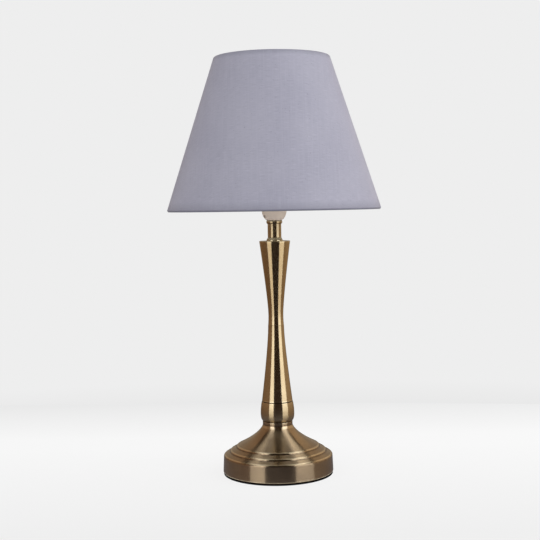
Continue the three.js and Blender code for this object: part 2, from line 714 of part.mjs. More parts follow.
// A bent spring strip: a foot on the insulator, a slanting leg and a pad under the bulb's tip.
function centreContact() {
  const r = CONTACT_REACH;
  const t = CONTACT_T;
  const strip = new THREE.Shape([[-r, 0], [r, 0], [r, t], [t - r, t], [r, CONTACT_H - t], [r, CONTACT_H],
    [-r, CONTACT_H], [-r, CONTACT_H - t], [r - 3 * t, CONTACT_H - t], [-r, t]]
    .map(([x, y]) => new THREE.Vector2(x, y)));
  return plate(strip, CONTACT_W).translate(0, 0, -CONTACT_W / 2).rotateX(Math.PI / 2)
    .translate(0, 0, CAP_H + INSULATOR_TOP);
}

// The outer sleeve: a flange that carries the shade and a thread for the clamp ring.
function holderSkirt() {
  const flangeTop = CAP_H + SKIRT_FLANGE_Z;
  const top = CAP_H + SKIRT_H;
  return turned(rounded([
    [CAP_R, CAP_H],
    [CAP_R, flangeTop - SKIRT_FLANGE_T],
    [SKIRT_FLANGE_R, flangeTop - SKIRT_FLANGE_T],
    [SKIRT_FLANGE_R, flangeTop],
    [SKIRT_THREAD_R, flangeTop],
    [SKIRT_THREAD_R, top],
    [SKIRT_LIP_R, top],
    [SKIRT_LIP_R, top - SKIRT_LIP_T],
    [SKIRT_BORE_R, top - SKIRT_LIP_T],
    [SKIRT_BORE_R, CAP_H],
  ]), STEM_STEPS);
}

function lampholder() {
  const holder = assembly(HOLDER_Z);
  const insulatorBottom = CAP_H - CAP_LEDGE - INSULATOR_SKIRT;
  const terminalScrew = (side) => (
    screw(HOLDER_SCREW_R, HOLDER_SCREW_LENGTH, HOLDER_SCREW_HEAD_R, HOLDER_SCREW_HEAD_H)
      .translate(side * HOLDER_SCREW_X, 0, insulatorBottom - HOLDER_SCREW_HEAD_H));
  const seat = CAP_H + INSULATOR_TOP;
  piece('holder_cap', holderCap(), CREAM, holder);
  piece('holder_lock_screw', lockScrew(), STEEL, holder);
  piece('holder_insulator', holderInsulator(), WHITE, holder);
  piece('holder_screw_live', terminalScrew(-1), PLATED, holder);
  piece('holder_screw_neutral', terminalScrew(1), PLATED, holder);
  piece('holder_centre_contact', centreContact(), PLATED, holder);
  const threadShell = ring(SHELL_R, SHELL_R + SHELL_T, seat, seat + SHELL_H, STEM_STEPS);
  piece('holder_thread_shell', threadShell, PLATED, holder);
  piece('holder_skirt', holderSkirt(), CREAM, holder);
}

// The reducer's flange carries the fitter ring, and its spigot fills the ring's hole.
function reducerRing() {
  const spigotR = FITTER_BORE_R - FIT;
  const top = REDUCER_FLANGE_T + FITTER_T;
  return turned(rounded([
    [REDUCER_FLANGE_R, 0],
    [REDUCER_FLANGE_R, REDUCER_FLANGE_T],
    [spigotR, REDUCER_FLANGE_T],
    [spigotR, top],
    [RING_HOLE_R, top],
    [RING_HOLE_R, 0],
  ]), STEM_STEPS);
}

// The ring nut that clamps the shade: a lobed grip and a threaded hub.
function clampRing() {
  const bottom = REDUCER_FLANGE_T + FITTER_T;
  const grip = new THREE.Shape(Array.from({ length: 2 * CLAMP_LOBES }, (_, i) => {
    const angle = (i * Math.PI) / CLAMP_LOBES;
    const radius = CLAMP_R - (i % 2) * CLAMP_LOBE_DEPTH;
    return new THREE.Vector2(radius * Math.cos(angle), radius * Math.sin(angle));
  }));
  const flange = plate(grip, CLAMP_FLANGE_T).translate(0, 0, bottom);
  const hub = disc(CLAMP_HUB_R, bottom, bottom + CLAMP_H, STEM_STEPS);
  const bore = disc(RING_HOLE_R, 0, 2 * (bottom + CLAMP_H), STEM_STEPS);
  return cut(join([flange, hub]), [bore]);
}

// The shade's slanting line through the middles of its two wire rings, in [radius, height]. A place is
// given by how far it lies along the slant from the bottom ring, and how far outside the line.
const ROLL_R = COVER_T + SEAT + WIRE_R; // outer radius of the cover where it rolls round a ring
const RING_BOTTOM_Z = ROLL_R - SHADE_DROP;
const RING_TOP_Z = SHADE_H - ROLL_R - SHADE_DROP;
const SLANT = Math.hypot(RING_TOP_R - RING_BOTTOM_R, RING_TOP_Z - RING_BOTTOM_Z);
const SPOKE_TURNS = Array.from({ length: SPOKES }, (_, i) => (i * 2 * Math.PI) / SPOKES);
const ALONG = [(RING_TOP_R - RING_BOTTOM_R) / SLANT, (RING_TOP_Z - RING_BOTTOM_Z) / SLANT];

function onSlant(along, outside) {
  return [
    RING_BOTTOM_R + along * ALONG[0] + outside * ALONG[1],
    RING_BOTTOM_Z + along * ALONG[1] - outside * ALONG[0],
  ];
}

// Half a turn round one of the wire rings, in slant terms.
function rollRound(along, radius, from, to) {
  return Array.from({ length: ROUND_STEPS + 2 }, (_, i) => {
    const angle = from + ((to - from) * i) / (ROUND_STEPS + 1);
    return onSlant(along + radius * Math.sin(angle), radius * Math.cos(angle));
  });
}

// The fabric: one outer face, rolled in round both rings, with a hem that ends against the liner and
// is notched where the spokes reach the ring.
function shadeCover() {
  const innerR = ROLL_R - COVER_T;
  const hemFace = innerR - SEAT - LINER_T - SEAT;
  const cover = turned(rounded([
    ...rollRound(0, ROLL_R, -Math.PI, 0),
    ...rollRound(SLANT, ROLL_R, 0, Math.PI),
    onSlant(SLANT - HEM, hemFace - COVER_T),
    onSlant(SLANT - HEM, hemFace),
    ...rollRound(SLANT, innerR, Math.PI, 0),
    ...rollRound(0, innerR, 0, -Math.PI),
    onSlant(HEM, hemFace),
    onSlant(HEM, hemFace - COVER_T),
  ]), SHADE_STEPS);
  const notchW = 2 * (WIRE_R + SEAT);
  const notches = SPOKE_TURNS.map((turn) => new THREE.BoxGeometry(notchW, 2 * HEM, notchW)
    .translate(0, RING_BOTTOM_R - HEM, RING_BOTTOM_Z).rotateZ(turn));
  return cut(cover, notches);
}

function shadeLiner() {
  const outside = ROLL_R - COVER_T - SEAT;
  const inset = WIRE_R + SEAT;
  return turned(rounded([
    onSlant(inset, outside),
    onSlant(SLANT - inset, outside),
    onSlant(SLANT - inset, outside - LINER_T),
    onSlant(inset, outside - LINER_T),
  ]), SHADE_STEPS);
}

function wireRing(radius, z) {
  const section = Array.from({ length: WIRE_SIDES }, (_, i) => {
    const angle = (i * 2 * Math.PI) / WIRE_SIDES;
    return [radius + WIRE_R * Math.cos(angle), z + WIRE_R * Math.sin(angle)];
  });
  return turned(rounded(section), SHADE_STEPS);
}

// A spoke, welded between the fitter ring and the bottom ring: level at both ends and straight between.
function spoke() {
  const start = FITTER_R + SEAT;
  const end = RING_BOTTOM_R - WIRE_R - SEAT;
  const top = REDUCER_FLANGE_T + FITTER_T / 2;
  const route = new Route([
    [start, top],
    [start + SPOKE_LEVEL / 2, top],
    [start + SPOKE_LEVEL, top],
    [end - SPOKE_LEVEL, RING_BOTTOM_Z],
    [end - SPOKE_LEVEL / 2, RING_BOTTOM_Z],
    [end, RING_BOTTOM_Z],
  ].map(([r, z]) => new THREE.Vector3(0, r, z)));
  const section = new THREE.Shape().absarc(0, 0, WIRE_R, 0, 2 * Math.PI);
  return new THREE.ExtrudeGeometry(section, { extrudePath: route, steps: 10, curveSegments: WIRE_SIDES / 2 });
}

function shade() {
  const group = assembly(FLANGE_TOP);
  piece('reducer_ring', reducerRing(), WHITE, group);
  piece('clamp_ring', clampRing(), CREAM, group);
  const fitterTop = REDUCER_FLANGE_T + FITTER_T;
  const fitterRing = ring(FITTER_BORE_R, FITTER_R, REDUCER_FLANGE_T, fitterTop, SHADE_STEPS);
  piece('shade_fitter_ring', fitterRing, WHITE, group);
  SPOKE_TURNS.forEach((turn, i) => {
    piece(`shade_spoke_${i + 1}`, spoke(), WHITE, group).rotation.z = turn;
  });
  piece('shade_bottom_ring', wireRing(RING_BOTTOM_R, RING_BOTTOM_Z), WHITE, group);
  piece('shade_top_ring', wireRing(RING_TOP_R, RING_TOP_Z), WHITE, group);
  piece('shade_liner', shadeLiner(), LINER, group);
  piece('shade_cover', shadeCover(), FABRIC, group);
}

// The screw cap of the bulb: a thin shell with a hole in its floor for the insulator.
function bulbCap() {
  const floor = TIP_H + GLASS_H;
  const wall = BULB_CAP_T;
  return turned(rounded([
    [CAP_HOLE_R, floor],
    [THREAD_R, floor, wall],
    [THREAD_R, THREAD_TOP],
    [CAP_TOP_R, CAP_FLARE_TOP],
    [CAP_TOP_R, BULB_CAP_H],
    [CAP_TOP_R - wall, BULB_CAP_H],
    [CAP_TOP_R - wall, CAP_FLARE_TOP],
    [THREAD_R - wall, THREAD_TOP],
    [THREAD_R - wall, floor + wall],
    [CAP_HOLE_R, floor + wall],
  ]), STEM_STEPS);
}

// The tapered housing, with a spigot down inside the cap.
function bulbHousing() {
  const spigotR = THREAD_R - BULB_CAP_T - FIT;
  const top = BULB_CAP_H + HOUSING_H;
  return turned(rounded([
    [0, BULB_CAP_H - HOUSING_SPIGOT],
    [spigotR, BULB_CAP_H - HOUSING_SPIGOT],
    [spigotR, BULB_CAP_H],
    [HOUSING_FOOT_R, BULB_CAP_H],
    [HOUSING_TOP_R, top, BASE_ROUNDING],
    [0, top],
  ]), STEM_STEPS);
}

// The opal dome: up the outside to the candle tip and down the inside.
function bulbDome() {
  const bottom = BULB_CAP_H + HOUSING_H;
  const belly = bottom + DOME_BELLY;
  const side = (wall) => {
    const height = BULB_H - wall - belly;
    return new THREE.CubicBezierCurve(
      new THREE.Vector2(BULB_R - wall, belly),
      new THREE.Vector2(BULB_R - wall, belly + 0.45 * height),
      new THREE.Vector2(0.4 * BULB_R, belly + 0.75 * height),
      new THREE.Vector2(DOME_TIP_R, belly + 0.985 * height),
    ).getPoints(CURVE_STEPS).map((p) => [p.x, p.y]);
  };
  const footR = HOUSING_TOP_R - 2 * SEAT;
  return turned(rounded([
    [0, BULB_H - DOME_WALL],
    ...side(DOME_WALL).reverse(),
    [footR - DOME_WALL, bottom],
    [footR, bottom],
    ...side(0),
    [0, BULB_H],
  ]), STEM_STEPS);
}

function bulb() {
  const group = assembly(BULB_Z);
  const floor = TIP_H + GLASS_H;
  const board = BULB_CAP_H + HOUSING_H;
  const glass = turned(rounded([[0, TIP_H], [GLASS_R, TIP_H], [THREAD_R - BULB_CAP_T, floor], [0, floor]]),
    STEM_STEPS);
  piece('bulb_tip_contact', disc(TIP_R, 0, TIP_H, STEM_STEPS), STEEL, group);
  piece('bulb_insulator', glass, BLACK, group);
  piece('bulb_cap', bulbCap(), STEEL, group);
  piece('bulb_housing', bulbHousing(), WHITE, group);
  piece('bulb_led_board', disc(BOARD_R, board, board + BOARD_T, STEM_STEPS), STEEL, group);
  piece('bulb_dome', bulbDome(), OPAL, group);
}

baseAndStem();
lampholder();
shade();
bulb();

export default lamp;
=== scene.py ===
import logging
import math
from collections.abc import Callable, Sequence
from dataclasses import dataclass
from enum import Enum

import bmesh
import bpy
from bpy.types import ID, Material, Node, NodeSocket, NodeTree, Object
from mathutils import Matrix, Vector


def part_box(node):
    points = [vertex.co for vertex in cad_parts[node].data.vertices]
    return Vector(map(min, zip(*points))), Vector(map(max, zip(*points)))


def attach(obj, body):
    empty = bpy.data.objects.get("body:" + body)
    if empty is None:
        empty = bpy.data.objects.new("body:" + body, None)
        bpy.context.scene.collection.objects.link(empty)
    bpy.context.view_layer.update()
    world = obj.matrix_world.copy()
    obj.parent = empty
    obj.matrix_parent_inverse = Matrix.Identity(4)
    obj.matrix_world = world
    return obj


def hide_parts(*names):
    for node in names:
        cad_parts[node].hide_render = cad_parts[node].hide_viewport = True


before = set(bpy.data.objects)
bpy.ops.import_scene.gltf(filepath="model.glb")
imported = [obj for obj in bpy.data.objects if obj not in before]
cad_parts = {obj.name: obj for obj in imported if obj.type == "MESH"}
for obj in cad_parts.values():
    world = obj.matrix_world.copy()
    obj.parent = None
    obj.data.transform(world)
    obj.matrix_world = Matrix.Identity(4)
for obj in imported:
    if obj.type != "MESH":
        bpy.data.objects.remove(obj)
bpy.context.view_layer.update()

MM = 0.001
AXIS_R = 1e-4  # an outline point nearer to the axis than this, in mm, is a single vertex
SHARP_ANGLE = math.radians(50)  # an edge that turns more than this stays crisp
ROUNDING_SHARE = 0.45  # how much of the run beside a corner its rounding may take up

Numbers = tuple[float, ...]
Corner = tuple[float, ...]  # radius and height in mm, and where a corner is eased, its rounding
Point = tuple[float, float]
Relief = Callable[[float, float, float], float]

log = logging.getLogger("table_lamp")


class Body(Enum):
    """The bodies that new pieces ride on."""

    ROOT = "root"
    SHADE = "shade"
    REDUCER = "reducer"
    CLAMP = "clamp"
    BULB = "bulb"


class Slot(Enum):
    """The record's material slots for new pieces."""

    BRASS = "antique_brass"
    FELT = "felt"
    ZINC = "zinc_steel"
    CREAM = "holder_plastic"
    WHITE = "white_plastic"
    BLACK = "black_plastic"
    WIRE = "white_wire"
    FABRIC = "shade_fabric"
    LINER = "shade_liner"
    OPAL = "opal"


def linear(colour: str) -> tuple[float, float, float, float]:
    """Turns an sRGB hex colour into linear light.

    Args:
        colour: six hex digits, such as "9f9dae".

    Returns:
        Red, green, blue and an alpha of one.
    """
    def channel(start: int) -> float:
        """One channel of the colour, in linear light."""
        value = int(colour[start:start + 2], 16) / 255
        return value / 12.92 if value <= 0.04045 else ((value + 0.055) / 1.055) ** 2.4
    return (channel(0), channel(2), channel(4), 1.0)


def per_metre(grain_mm: float) -> float:
    """How many grains of a real size lie in a metre, which is the scale of a pattern."""
    return 1 / (grain_mm * MM)


def add_node(tree: NodeTree, kind: str, inputs: dict | tuple = (), **settings: object) -> Node:
    """Adds one shader node with its settings, values and links.

    Args:
        tree: the material's or world's node tree.
        kind: the node's type, without the word ShaderNode.
        inputs: what each input gets, in the node's own order or by name or number: a value, another
            node's output socket, or another node, which stands for its first output.
        settings: the node's own settings by name.

    Returns:
        The new node.
    """
    node = tree.nodes.new("ShaderNode" + kind)
    for name, value in settings.items():
        setattr(node, name, value)
    for name, value in inputs.items() if isinstance(inputs, dict) else enumerate(inputs):
        source = value.outputs[0] if isinstance(value, Node) else value
        if isinstance(source, NodeSocket):
            tree.links.new(source, node.inputs[name])
        else:
            node.inputs[name].default_value = source
    return node


def empty_material(name: str) -> Material:
    """A new material that has no nodes yet.

    Args:
        name: the material's name.

    Returns:
        The material.
    """
    made = bpy.data.materials.new(name)
    made.use_nodes = True
    made.node_tree.nodes.clear()
    return made


@dataclass(frozen=True)
class Finish:
    """A surface as its maker names it, which builds its material the first time it is asked for."""

    name: str

    def material(self) -> Material:
        """The finish's material, built once.

        Returns:
            The material.
        """
        found = bpy.data.materials.get(self.name)
        if found:
            return found
        made = empty_material(self.name)
        add_node(made.node_tree, "OutputMaterial", {"Surface": self.surface(made.node_tree)})
        return made

    def surface(self, tree: NodeTree) -> Node:
        """Builds the shader; each finish has its own."""
        raise NotImplementedError


@dataclass(frozen=True)
class TurnedBrass(Finish):
    """Brass turned or spun, brushed round its axis, dipped dark, rubbed back and lacquered.

    The brush lines run round the piece, so a lamp's reflection is drawn out up and down it and keeps
    sharp sides. The dark dip stays in the grooves and is rubbed off the proud edges; painted shade lines
    take the dip's tone and painted highlight lines the bare tone.
    """

    metal: str
    tarnish: str
    # the rubbed tone of proud edges, and the tone of painted highlight lines
    bare: str
    dip_and_shade_tone: str  # what fills the grooves, and the tone of painted shade lines
    roughness: float
    smoky: float  # how much of the dark dip shows on plain surfaces
    drawn: float = 1.0  # how strongly the brush lines draw a reflection out
    freckle_mm: float = 2.2
    cloud_mm: float = 24.0
    line_mm: float = 0.45  # real brush lines are 0.1 mm apart, drawn coarser so that they show
    line_reach: float = 14.0  # how often a brush line changes on its way round
    line_depth_mm: float = 0.0005

    def surface(self, tree: NodeTree) -> Node:
        """Builds the brushed and darkened metal.

        Args:
            tree: the material's node tree.

        Returns:
            The metal's shader.
        """
        place = add_node(tree, "TexCoord").outputs["Object"]
        lines = self.brush_lines(tree, place)
        freckle = add_node(tree, "TexNoise", {"Vector": place, "Scale": per_metre(self.freckle_mm),
                                              "Detail": 4.0})
        cloud = add_node(tree, "TexNoise", {"Vector": place, "Scale": per_metre(self.cloud_mm),
                                            "Detail": 3.0})
        wear_and_painted_light = add_node(tree, "Attribute", attribute_name="wear_and_painted_light").outputs["Fac"]
        ragged = add_node(tree, "MapRange", (freckle, 0.3, 0.7, -0.08, 0.08))
        uneven = add_node(tree, "Math", (wear_and_painted_light, ragged), operation="ADD")
        smoke = add_node(tree, "MapRange", (cloud, 0.3, 0.7, 0.0, self.smoky))
        flecks = add_node(tree, "MapRange", (freckle, 0.6, 0.78, 0.0, 0.18))
        lined = add_node(tree, "MapRange", (lines, 0.55, 0.75, 0.0, 0.3))
        plain = add_node(tree, "Math", (smoke, flecks), operation="ADD")
        plain = add_node(tree, "Math", (plain, lined), operation="ADD")
        # grooves and painted shade lines take the tarnish and dip tones; rubbed edges and painted highlight
        # lines take the bare tone
        sheltered_and_painted_shade = add_node(tree, "MapRange", (uneven, -0.5, -0.08, 0.95, 0.0))
        stained_and_painted_shade = add_node(tree, "Math", (plain, sheltered_and_painted_shade), operation="MAXIMUM")
        rubbed_and_painted_highlight = add_node(tree, "MapRange", (uneven, 0.1, 0.5, 0.0, 0.8))
        dipped_and_shaded_share = add_node(tree, "MapRange", (uneven, -0.6, -0.25, 0.85, 0.0))
        colour = linear(self.metal)
        for share, tone in ((stained_and_painted_shade, self.tarnish), (rubbed_and_painted_highlight, self.bare), (dipped_and_shaded_share, self.dip_and_shade_tone)):
            colour = add_node(tree, "Mix", {0: share, 6: colour, 7: linear(tone)},
                              data_type="RGBA").outputs[2]
        brushed = add_node(tree, "MapRange", (lines, 0.3, 0.7, self.roughness * 0.96,
                                              self.roughness * 1.04))
        duller = add_node(tree, "MapRange", (stained_and_painted_shade, 0.0, 1.0, 0.0, 0.04))
        return add_node(tree, "BsdfPrincipled", {
            "Base Color": colour, "Metallic": 1.0,
            "Roughness": add_node(tree, "Math", (brushed, duller), operation="ADD"),
            "Anisotropic": self.drawn, "Anisotropic Rotation": 0.25,
            "Tangent": add_node(tree, "Tangent", direction_type="RADIAL", axis="Z"),
            "Normal": add_node(tree, "Bump", {"Height": lines, "Distance": self.line_depth_mm * MM}),
        })

    def brush_lines(self, tree: NodeTree, place: NodeSocket) -> Node:
        """Fine noise drawn out round the axis, from the direction outwards and the way along the outline.

        Args:
            tree: the material's node tree.
            place: the place on the piece, in metres.

        Returns:
            The lines' node.
        """
        across = add_node(tree, "VectorMath", (place, (1.0, 1.0, 0.0)), operation="MULTIPLY")
        around = add_node(tree, "VectorMath", (across,), operation="NORMALIZE")
        turn = add_node(tree, "SeparateXYZ", (around,))
        outline = add_node(tree, "SeparateXYZ", (add_node(tree, "UVMap", uv_map="turned"),))
        place = add_node(tree, "CombineXYZ", (
            add_node(tree, "Math", (turn.outputs[0], self.line_reach), operation="MULTIPLY"),
            add_node(tree, "Math", (turn.outputs[1], self.line_reach), operation="MULTIPLY"),
            add_node(tree, "Math", (outline.outputs[1], per_metre(self.line_mm)), operation="MULTIPLY"),
        ))
        return add_node(tree, "TexNoise", {"Vector": place, "Scale": 1.0, "Detail": 3.0})


@dataclass(frozen=True)
class SlubWeave(Finish):
    """Plain-woven polyester and cotton, laminated on stiff plastic: a matt cloth with a satin cast.

    The weft follows the flat cut, so it curves down to both sides of the cone. Thick slubs show as short
    level dashes and small nubs as specks, and painted shade makes the cloth darker towards the rolled rims.
    """

    yarn: str
    dark_yarn: str
    light_yarn: str
    # the nubs' tone, and the tone of the painted shade at the rims
    rim: str
    thread_mm: float = 0.7  # real threads are 0.3 mm apart, drawn at about twice that so that they show
    slub_mm: Point = (8.0, 0.8)  # along the weft and along the warp
    streak_mm: Point = (1.6, 60.0)
    nub_mm: float = 1.5
    cloud_mm: float = 50.0
    weave_depth_mm: float = 0.045
    slub_depth_mm: float = 0.03

    def surface(self, tree: NodeTree) -> Node:
        """Builds the weave, its slubs and streaks, and the rims.

        Args:
            tree: the material's node tree.

        Returns:
            The cloth's shader.
        """
        flat = add_node(tree, "UVMap", uv_map="flat_cut")
        wave_scale = math.pi / 10 * per_metre(self.thread_mm)  # a wave is a tenth of two pi long
        wave = {"Vector": flat, "Scale": wave_scale, "Distortion": 1.6, "Detail": 2.0, "Detail Scale": 0.4}
        weft = add_node(tree, "TexWave", wave, bands_direction="Y").outputs["Fac"]
        warp = add_node(tree, "TexWave", wave, bands_direction="X").outputs["Fac"]
        woven = add_node(tree, "Math", (weft, warp), operation="MAXIMUM")
        slubs = self.uneven_yarn(tree, flat, self.slub_mm)
        streaks = self.uneven_yarn(tree, flat, self.streak_mm)
        nubs = add_node(tree, "TexNoise", {"Vector": flat, "Scale": per_metre(self.nub_mm), "Detail": 1.0})
        cloud = add_node(tree, "TexNoise", {"Vector": flat, "Scale": per_metre(self.cloud_mm),
                                            "Detail": 2.0})
        layers = (
            (add_node(tree, "MapRange", (woven, 0.3, 0.95, 0.5, 0.0)), self.dark_yarn),
            (add_node(tree, "MapRange", (streaks, 0.5, 0.72, 0.0, 0.22)), self.light_yarn),
            (add_node(tree, "MapRange", (streaks, 0.28, 0.5, 0.18, 0.0)), self.dark_yarn),
            (add_node(tree, "MapRange", (cloud, 0.35, 0.65, 0.0, 0.3)), self.light_yarn),
            (add_node(tree, "MapRange", (slubs, 0.56, 0.7, 0.0, 0.6)), self.light_yarn),
            (add_node(tree, "MapRange", (slubs, 0.3, 0.44, 0.5, 0.0)), self.dark_yarn),
            (add_node(tree, "MapRange", (nubs, 0.72, 0.76, 0.0, 0.8)), self.rim),
            # painted shade towards the rims and under the bottom roll
            (add_node(tree, "Attribute", attribute_name="rim").outputs["Fac"], self.rim),
        )
        colour = linear(self.yarn)
        for share, tone in layers:
            colour = add_node(tree, "Mix", {0: share, 6: colour, 7: linear(tone)},
                              data_type="RGBA").outputs[2]
        relief = add_node(tree, "Bump", {"Height": nubs, "Distance": self.slub_depth_mm * MM})
        relief = add_node(tree, "Bump", {"Height": slubs, "Distance": self.slub_depth_mm * MM,
                                         "Normal": relief})
        relief = add_node(tree, "Bump", {"Height": woven, "Distance": self.weave_depth_mm * MM,
                                         "Normal": relief})
        return add_node(tree, "BsdfPrincipled", {
            "Base Color": colour, "Roughness": add_node(tree, "MapRange", (woven, 0.0, 1.0, 0.62, 0.5)),
            "Specular IOR Level": 0.25, "Sheen Weight": 0.06, "Sheen Roughness": 0.5, "Normal": relief,
        })

    def uneven_yarn(self, tree: NodeTree, flat: Node, grain_mm: Point) -> Node:
        """Noise whose grains have one size along the weft and another along the warp.

        Args:
            tree: the material's node tree.
            flat: the place on the flat cut, in metres.
            grain_mm: a grain's size along the weft and along the warp.

        Returns:
            The noise's node.
        """
        size = (per_metre(grain_mm[0]), per_metre(grain_mm[1]), 1.0)
        place = add_node(tree, "VectorMath", (flat, size), operation="MULTIPLY")
        return add_node(tree, "TexNoise", {"Vector": place, "Scale": 1.0, "Detail": 2.0})


@dataclass(frozen=True)
class Mottled(Finish):
    """A surface in two close tones, patch by patch, with a fine grain in its relief."""

    colour: str
    patch: str
    roughness: float
    patch_mm: float
    grain_mm: float
    depth_mm: float
    toned: Numbers  # the noise where the patch's tone comes in and is full, and how full
    dulled: Numbers = ()  # shares of the roughness that the patches run between
    details: Point = (3.0, 2.0)  # how fine the patches' noise is, and the grain's

    def surface(self, tree: NodeTree) -> Node:
        """Builds the patches and the grain over what the kind is made of.

        Args:
            tree: the material's node tree.

        Returns:
            The surface's shader.
        """
        place = add_node(tree, "TexCoord").outputs["Object"]
        patches, grain = (
            add_node(tree, "TexNoise", {"Vector": place, "Scale": per_metre(size), "Detail": detail})
            for size, detail in zip((self.patch_mm, self.grain_mm), self.details))
        start, full, most = self.toned
        share = add_node(tree, "MapRange", (patches, start, full, 0.0, most))
        colour = add_node(tree, "Mix", {0: share, 6: linear(self.colour), 7: linear(self.patch)},
                          data_type="RGBA").outputs[2]
        rough = self.roughness
        if self.dulled:
            rough = add_node(tree, "MapRange", (patches, 0.3, 0.7, *(rough * part for part in self.dulled)))
        relief = add_node(tree, "Bump", {"Height": grain, "Distance": self.depth_mm * MM})
        return add_node(tree, "BsdfPrincipled", {"Base Color": colour, "Roughness": rough, "Normal": relief,
                                                 **self.body()})

    def body(self) -> dict[str, object]:
        """What the kind is made of, as further inputs of the shader."""
        raise NotImplementedError


@dataclass(frozen=True)
class Moulded(Mottled):
    """Plastic moulded, extruded or cast: an even colour, a soft gloss and a faint orange peel."""

    roughness: float = 0.42
    patch_mm: float = 11.0
    grain_mm: float = 1.1
    depth_mm: float = 0.006
    toned: Numbers = (0.3, 0.7, 0.6)
    dulled: Numbers = (0.9, 1.12)
    glow: float = 0.0  # how much light passes into it
    glow_mm: float = 2.0

    def body(self) -> dict[str, object]:
        """Plastic that light may pass into."""
        return {"IOR": 1.53, "Subsurface Weight": self.glow, "Subsurface Radius": (1.0, 0.9, 0.75),
                "Subsurface Scale": self.glow_mm * MM}


@dataclass(frozen=True)
class PlatedMetal(Mottled):
    """Metal stamped or rolled and plated: a plain bright skin with a slight bloom."""

    roughness: float = 0.34
    patch_mm: float = 3.0
    grain_mm: float = 0.5
    depth_mm: float = 0.004
    toned: Numbers = (0.4, 0.7, 0.7)
    dulled: Numbers = (0.8, 1.25)

    def body(self) -> dict[str, object]:
        """Metal right through."""
        return {"Metallic": 1.0}


@dataclass(frozen=True)
class Fibrous(Mottled):
    """Felt, pressed fibreboard or a painted rough casting: a matt surface with short random grain."""

    toned: Numbers = (0.4, 0.65, 1.0)
    details: Point = (4.0, 4.0)

    def body(self) -> dict[str, object]:
        """Fibres or sand that hardly shine."""
        return {"Specular IOR Level": 0.1}


# Turned and brushed brass, dipped dark and rubbed back: pale gold highlights over near-black reflections.
STEM_BRASS = TurnedBrass("antique brass, turned and brushed", "c5b594", "866647", "e8dcbc", "33281b",
                         0.22, 0.2)
# A darker copy of the same dip for the drawn tube, cone and bead, which paints shade into them: the same
# pale lines between darker sides.
SHADED_NECK_BRASS = TurnedBrass("antique brass, drawn and brushed", "bcab8a", "4c3722", "e8dcbc", "33281b",
                         0.22, 0.2)
# The same dip left thicker on spun sheet: a brown, duller metal, with a pale rubbed tone on its proud edges
# that also paints highlight lines on the step noses.
BASE_BRASS = TurnedBrass("antique brass, spun and brushed", "b8a487", "857360", "f4e5c4", "2a211a",
                         0.23, 0.5)
# Mauve-grey slub weave on a stiff backing: a matt cloth, with painted shade where it turns over the rims.
MAUVE_WEAVE = SlubWeave("slub weave, polyester and cotton", "aaa9b9", "9a99aa", "b8b7c5", "7f7f8e")
# Hard resin from a polished die: an even, slightly pink cream with a soft shine.
CREAM_RESIN = Moulded("cream thermoset, moulded", "e9d8ca", "e0cebf", 0.38, glow=0.05)
# The same shine on a cooler white, for the pieces that the shade hides.
WHITE_RESIN = Moulded("white thermoplastic, moulded", "eeece6", "e4e1d9", 0.4, glow=0.05)
# Nylon from a plain die: near black, with a dull shine.
BLACK_RESIN = Moulded("black nylon, moulded", "1c1c1e", "242427", 0.5)
# Wire sleeves drawn through a die: three flat, waxy colours, the earth's in green with yellow clouds.
BROWN_PVC = Moulded("brown flexible plastic, extruded", "6b3f22", "5f371d", 0.55)
BLUE_PVC = Moulded("blue flexible plastic, extruded", "2f5fa8", "2a5598", 0.55)
GREEN_PVC = Moulded("green flexible plastic, extruded", "7fa03a", "c9b93c", 0.55)
# Rolled sheet that lines the cloth: a smooth white that light passes into.
STYRENE = Moulded("white styrene sheet, extruded", "f2f1ec", "e9e7e0", 0.48, grain_mm=2.5, glow=0.1)
# Blown and frosted inside: a milky white that glows in from its edges, under a glossy skin.
OPAL_SHELL = Moulded("opal polycarbonate, blown", "f6f3ea", "efebdf", 0.22, glow=0.35, glow_mm=5.0)
# Powder melted on wire: a thick off-white skin with a fine orange peel.
WHITE_COAT = Moulded("white powder coat, baked", "eceae4", "dfdcd4", 0.45, grain_mm=0.7, depth_mm=0.02)
# Glass poured in the bulb's cap: near black and very shiny.
BLACK_GLASS = Moulded("black vitreous glass, fused", "17171a", "202024", 0.15)
# Bright zinc on steel: a cool grey with a cloudy shine.
ZINC = PlatedMetal("steel, zinc plated", "b4b6b9", "8f9194")
# Stamped brass under a thin plating: a pale yellow shine.
NICKEL_BRASS = PlatedMetal("brass, stamped and plated", "d2bb83", "b59c63", 0.3)
# Rolled aluminium left as the mill made it: a pale grey, softly streaked shine.
MILL_ALUMINIUM = PlatedMetal("aluminium, mill finish", "c4c6c8", "a9abad", 0.36)
# Wool pressed into felt: a black that gives back almost no light, with a short rough nap.
BLACK_FELT = Fibrous("black wool felt, pressed", "060504", "100d0b", 1.0, 0.6, 0.6, 0.12)
# Wood fibre pressed to board: a matt brown with paler fibres.
HARDBOARD = Fibrous("fibreboard, pressed", "6e5136", "80613f", 0.95, 1.4, 1.4, 0.05)
# Cast iron under thin paint: a dark grey with the mould's sand grain showing through.
PAINTED_IRON = Fibrous("cast iron, painted", "2f2f31", "454547", 0.7, 1.8, 1.8, 0.12)


def bezier(points: Sequence[Point], steps: int) -> list[Point]:
    """Points along a curve that has any number of handles.

    Args:
        points: its start, handles and end.
        steps: how many steps it has.

    Returns:
        The curve's points, both ends included.
    """
    def at(share: float) -> Point:
        """The curve's point at a share of the way, by dividing the runs between its handles there.

        Args:
            share: from 0 at the start to 1 at the end.

        Returns:
            The point.
        """
        layer = [Vector(p) for p in points]
        while len(layer) > 1:
            layer = [start.lerp(end, share) for start, end in zip(layer, layer[1:])]
        return (layer[0].x, layer[0].y)

    return [at(i / steps) for i in range(steps + 1)]


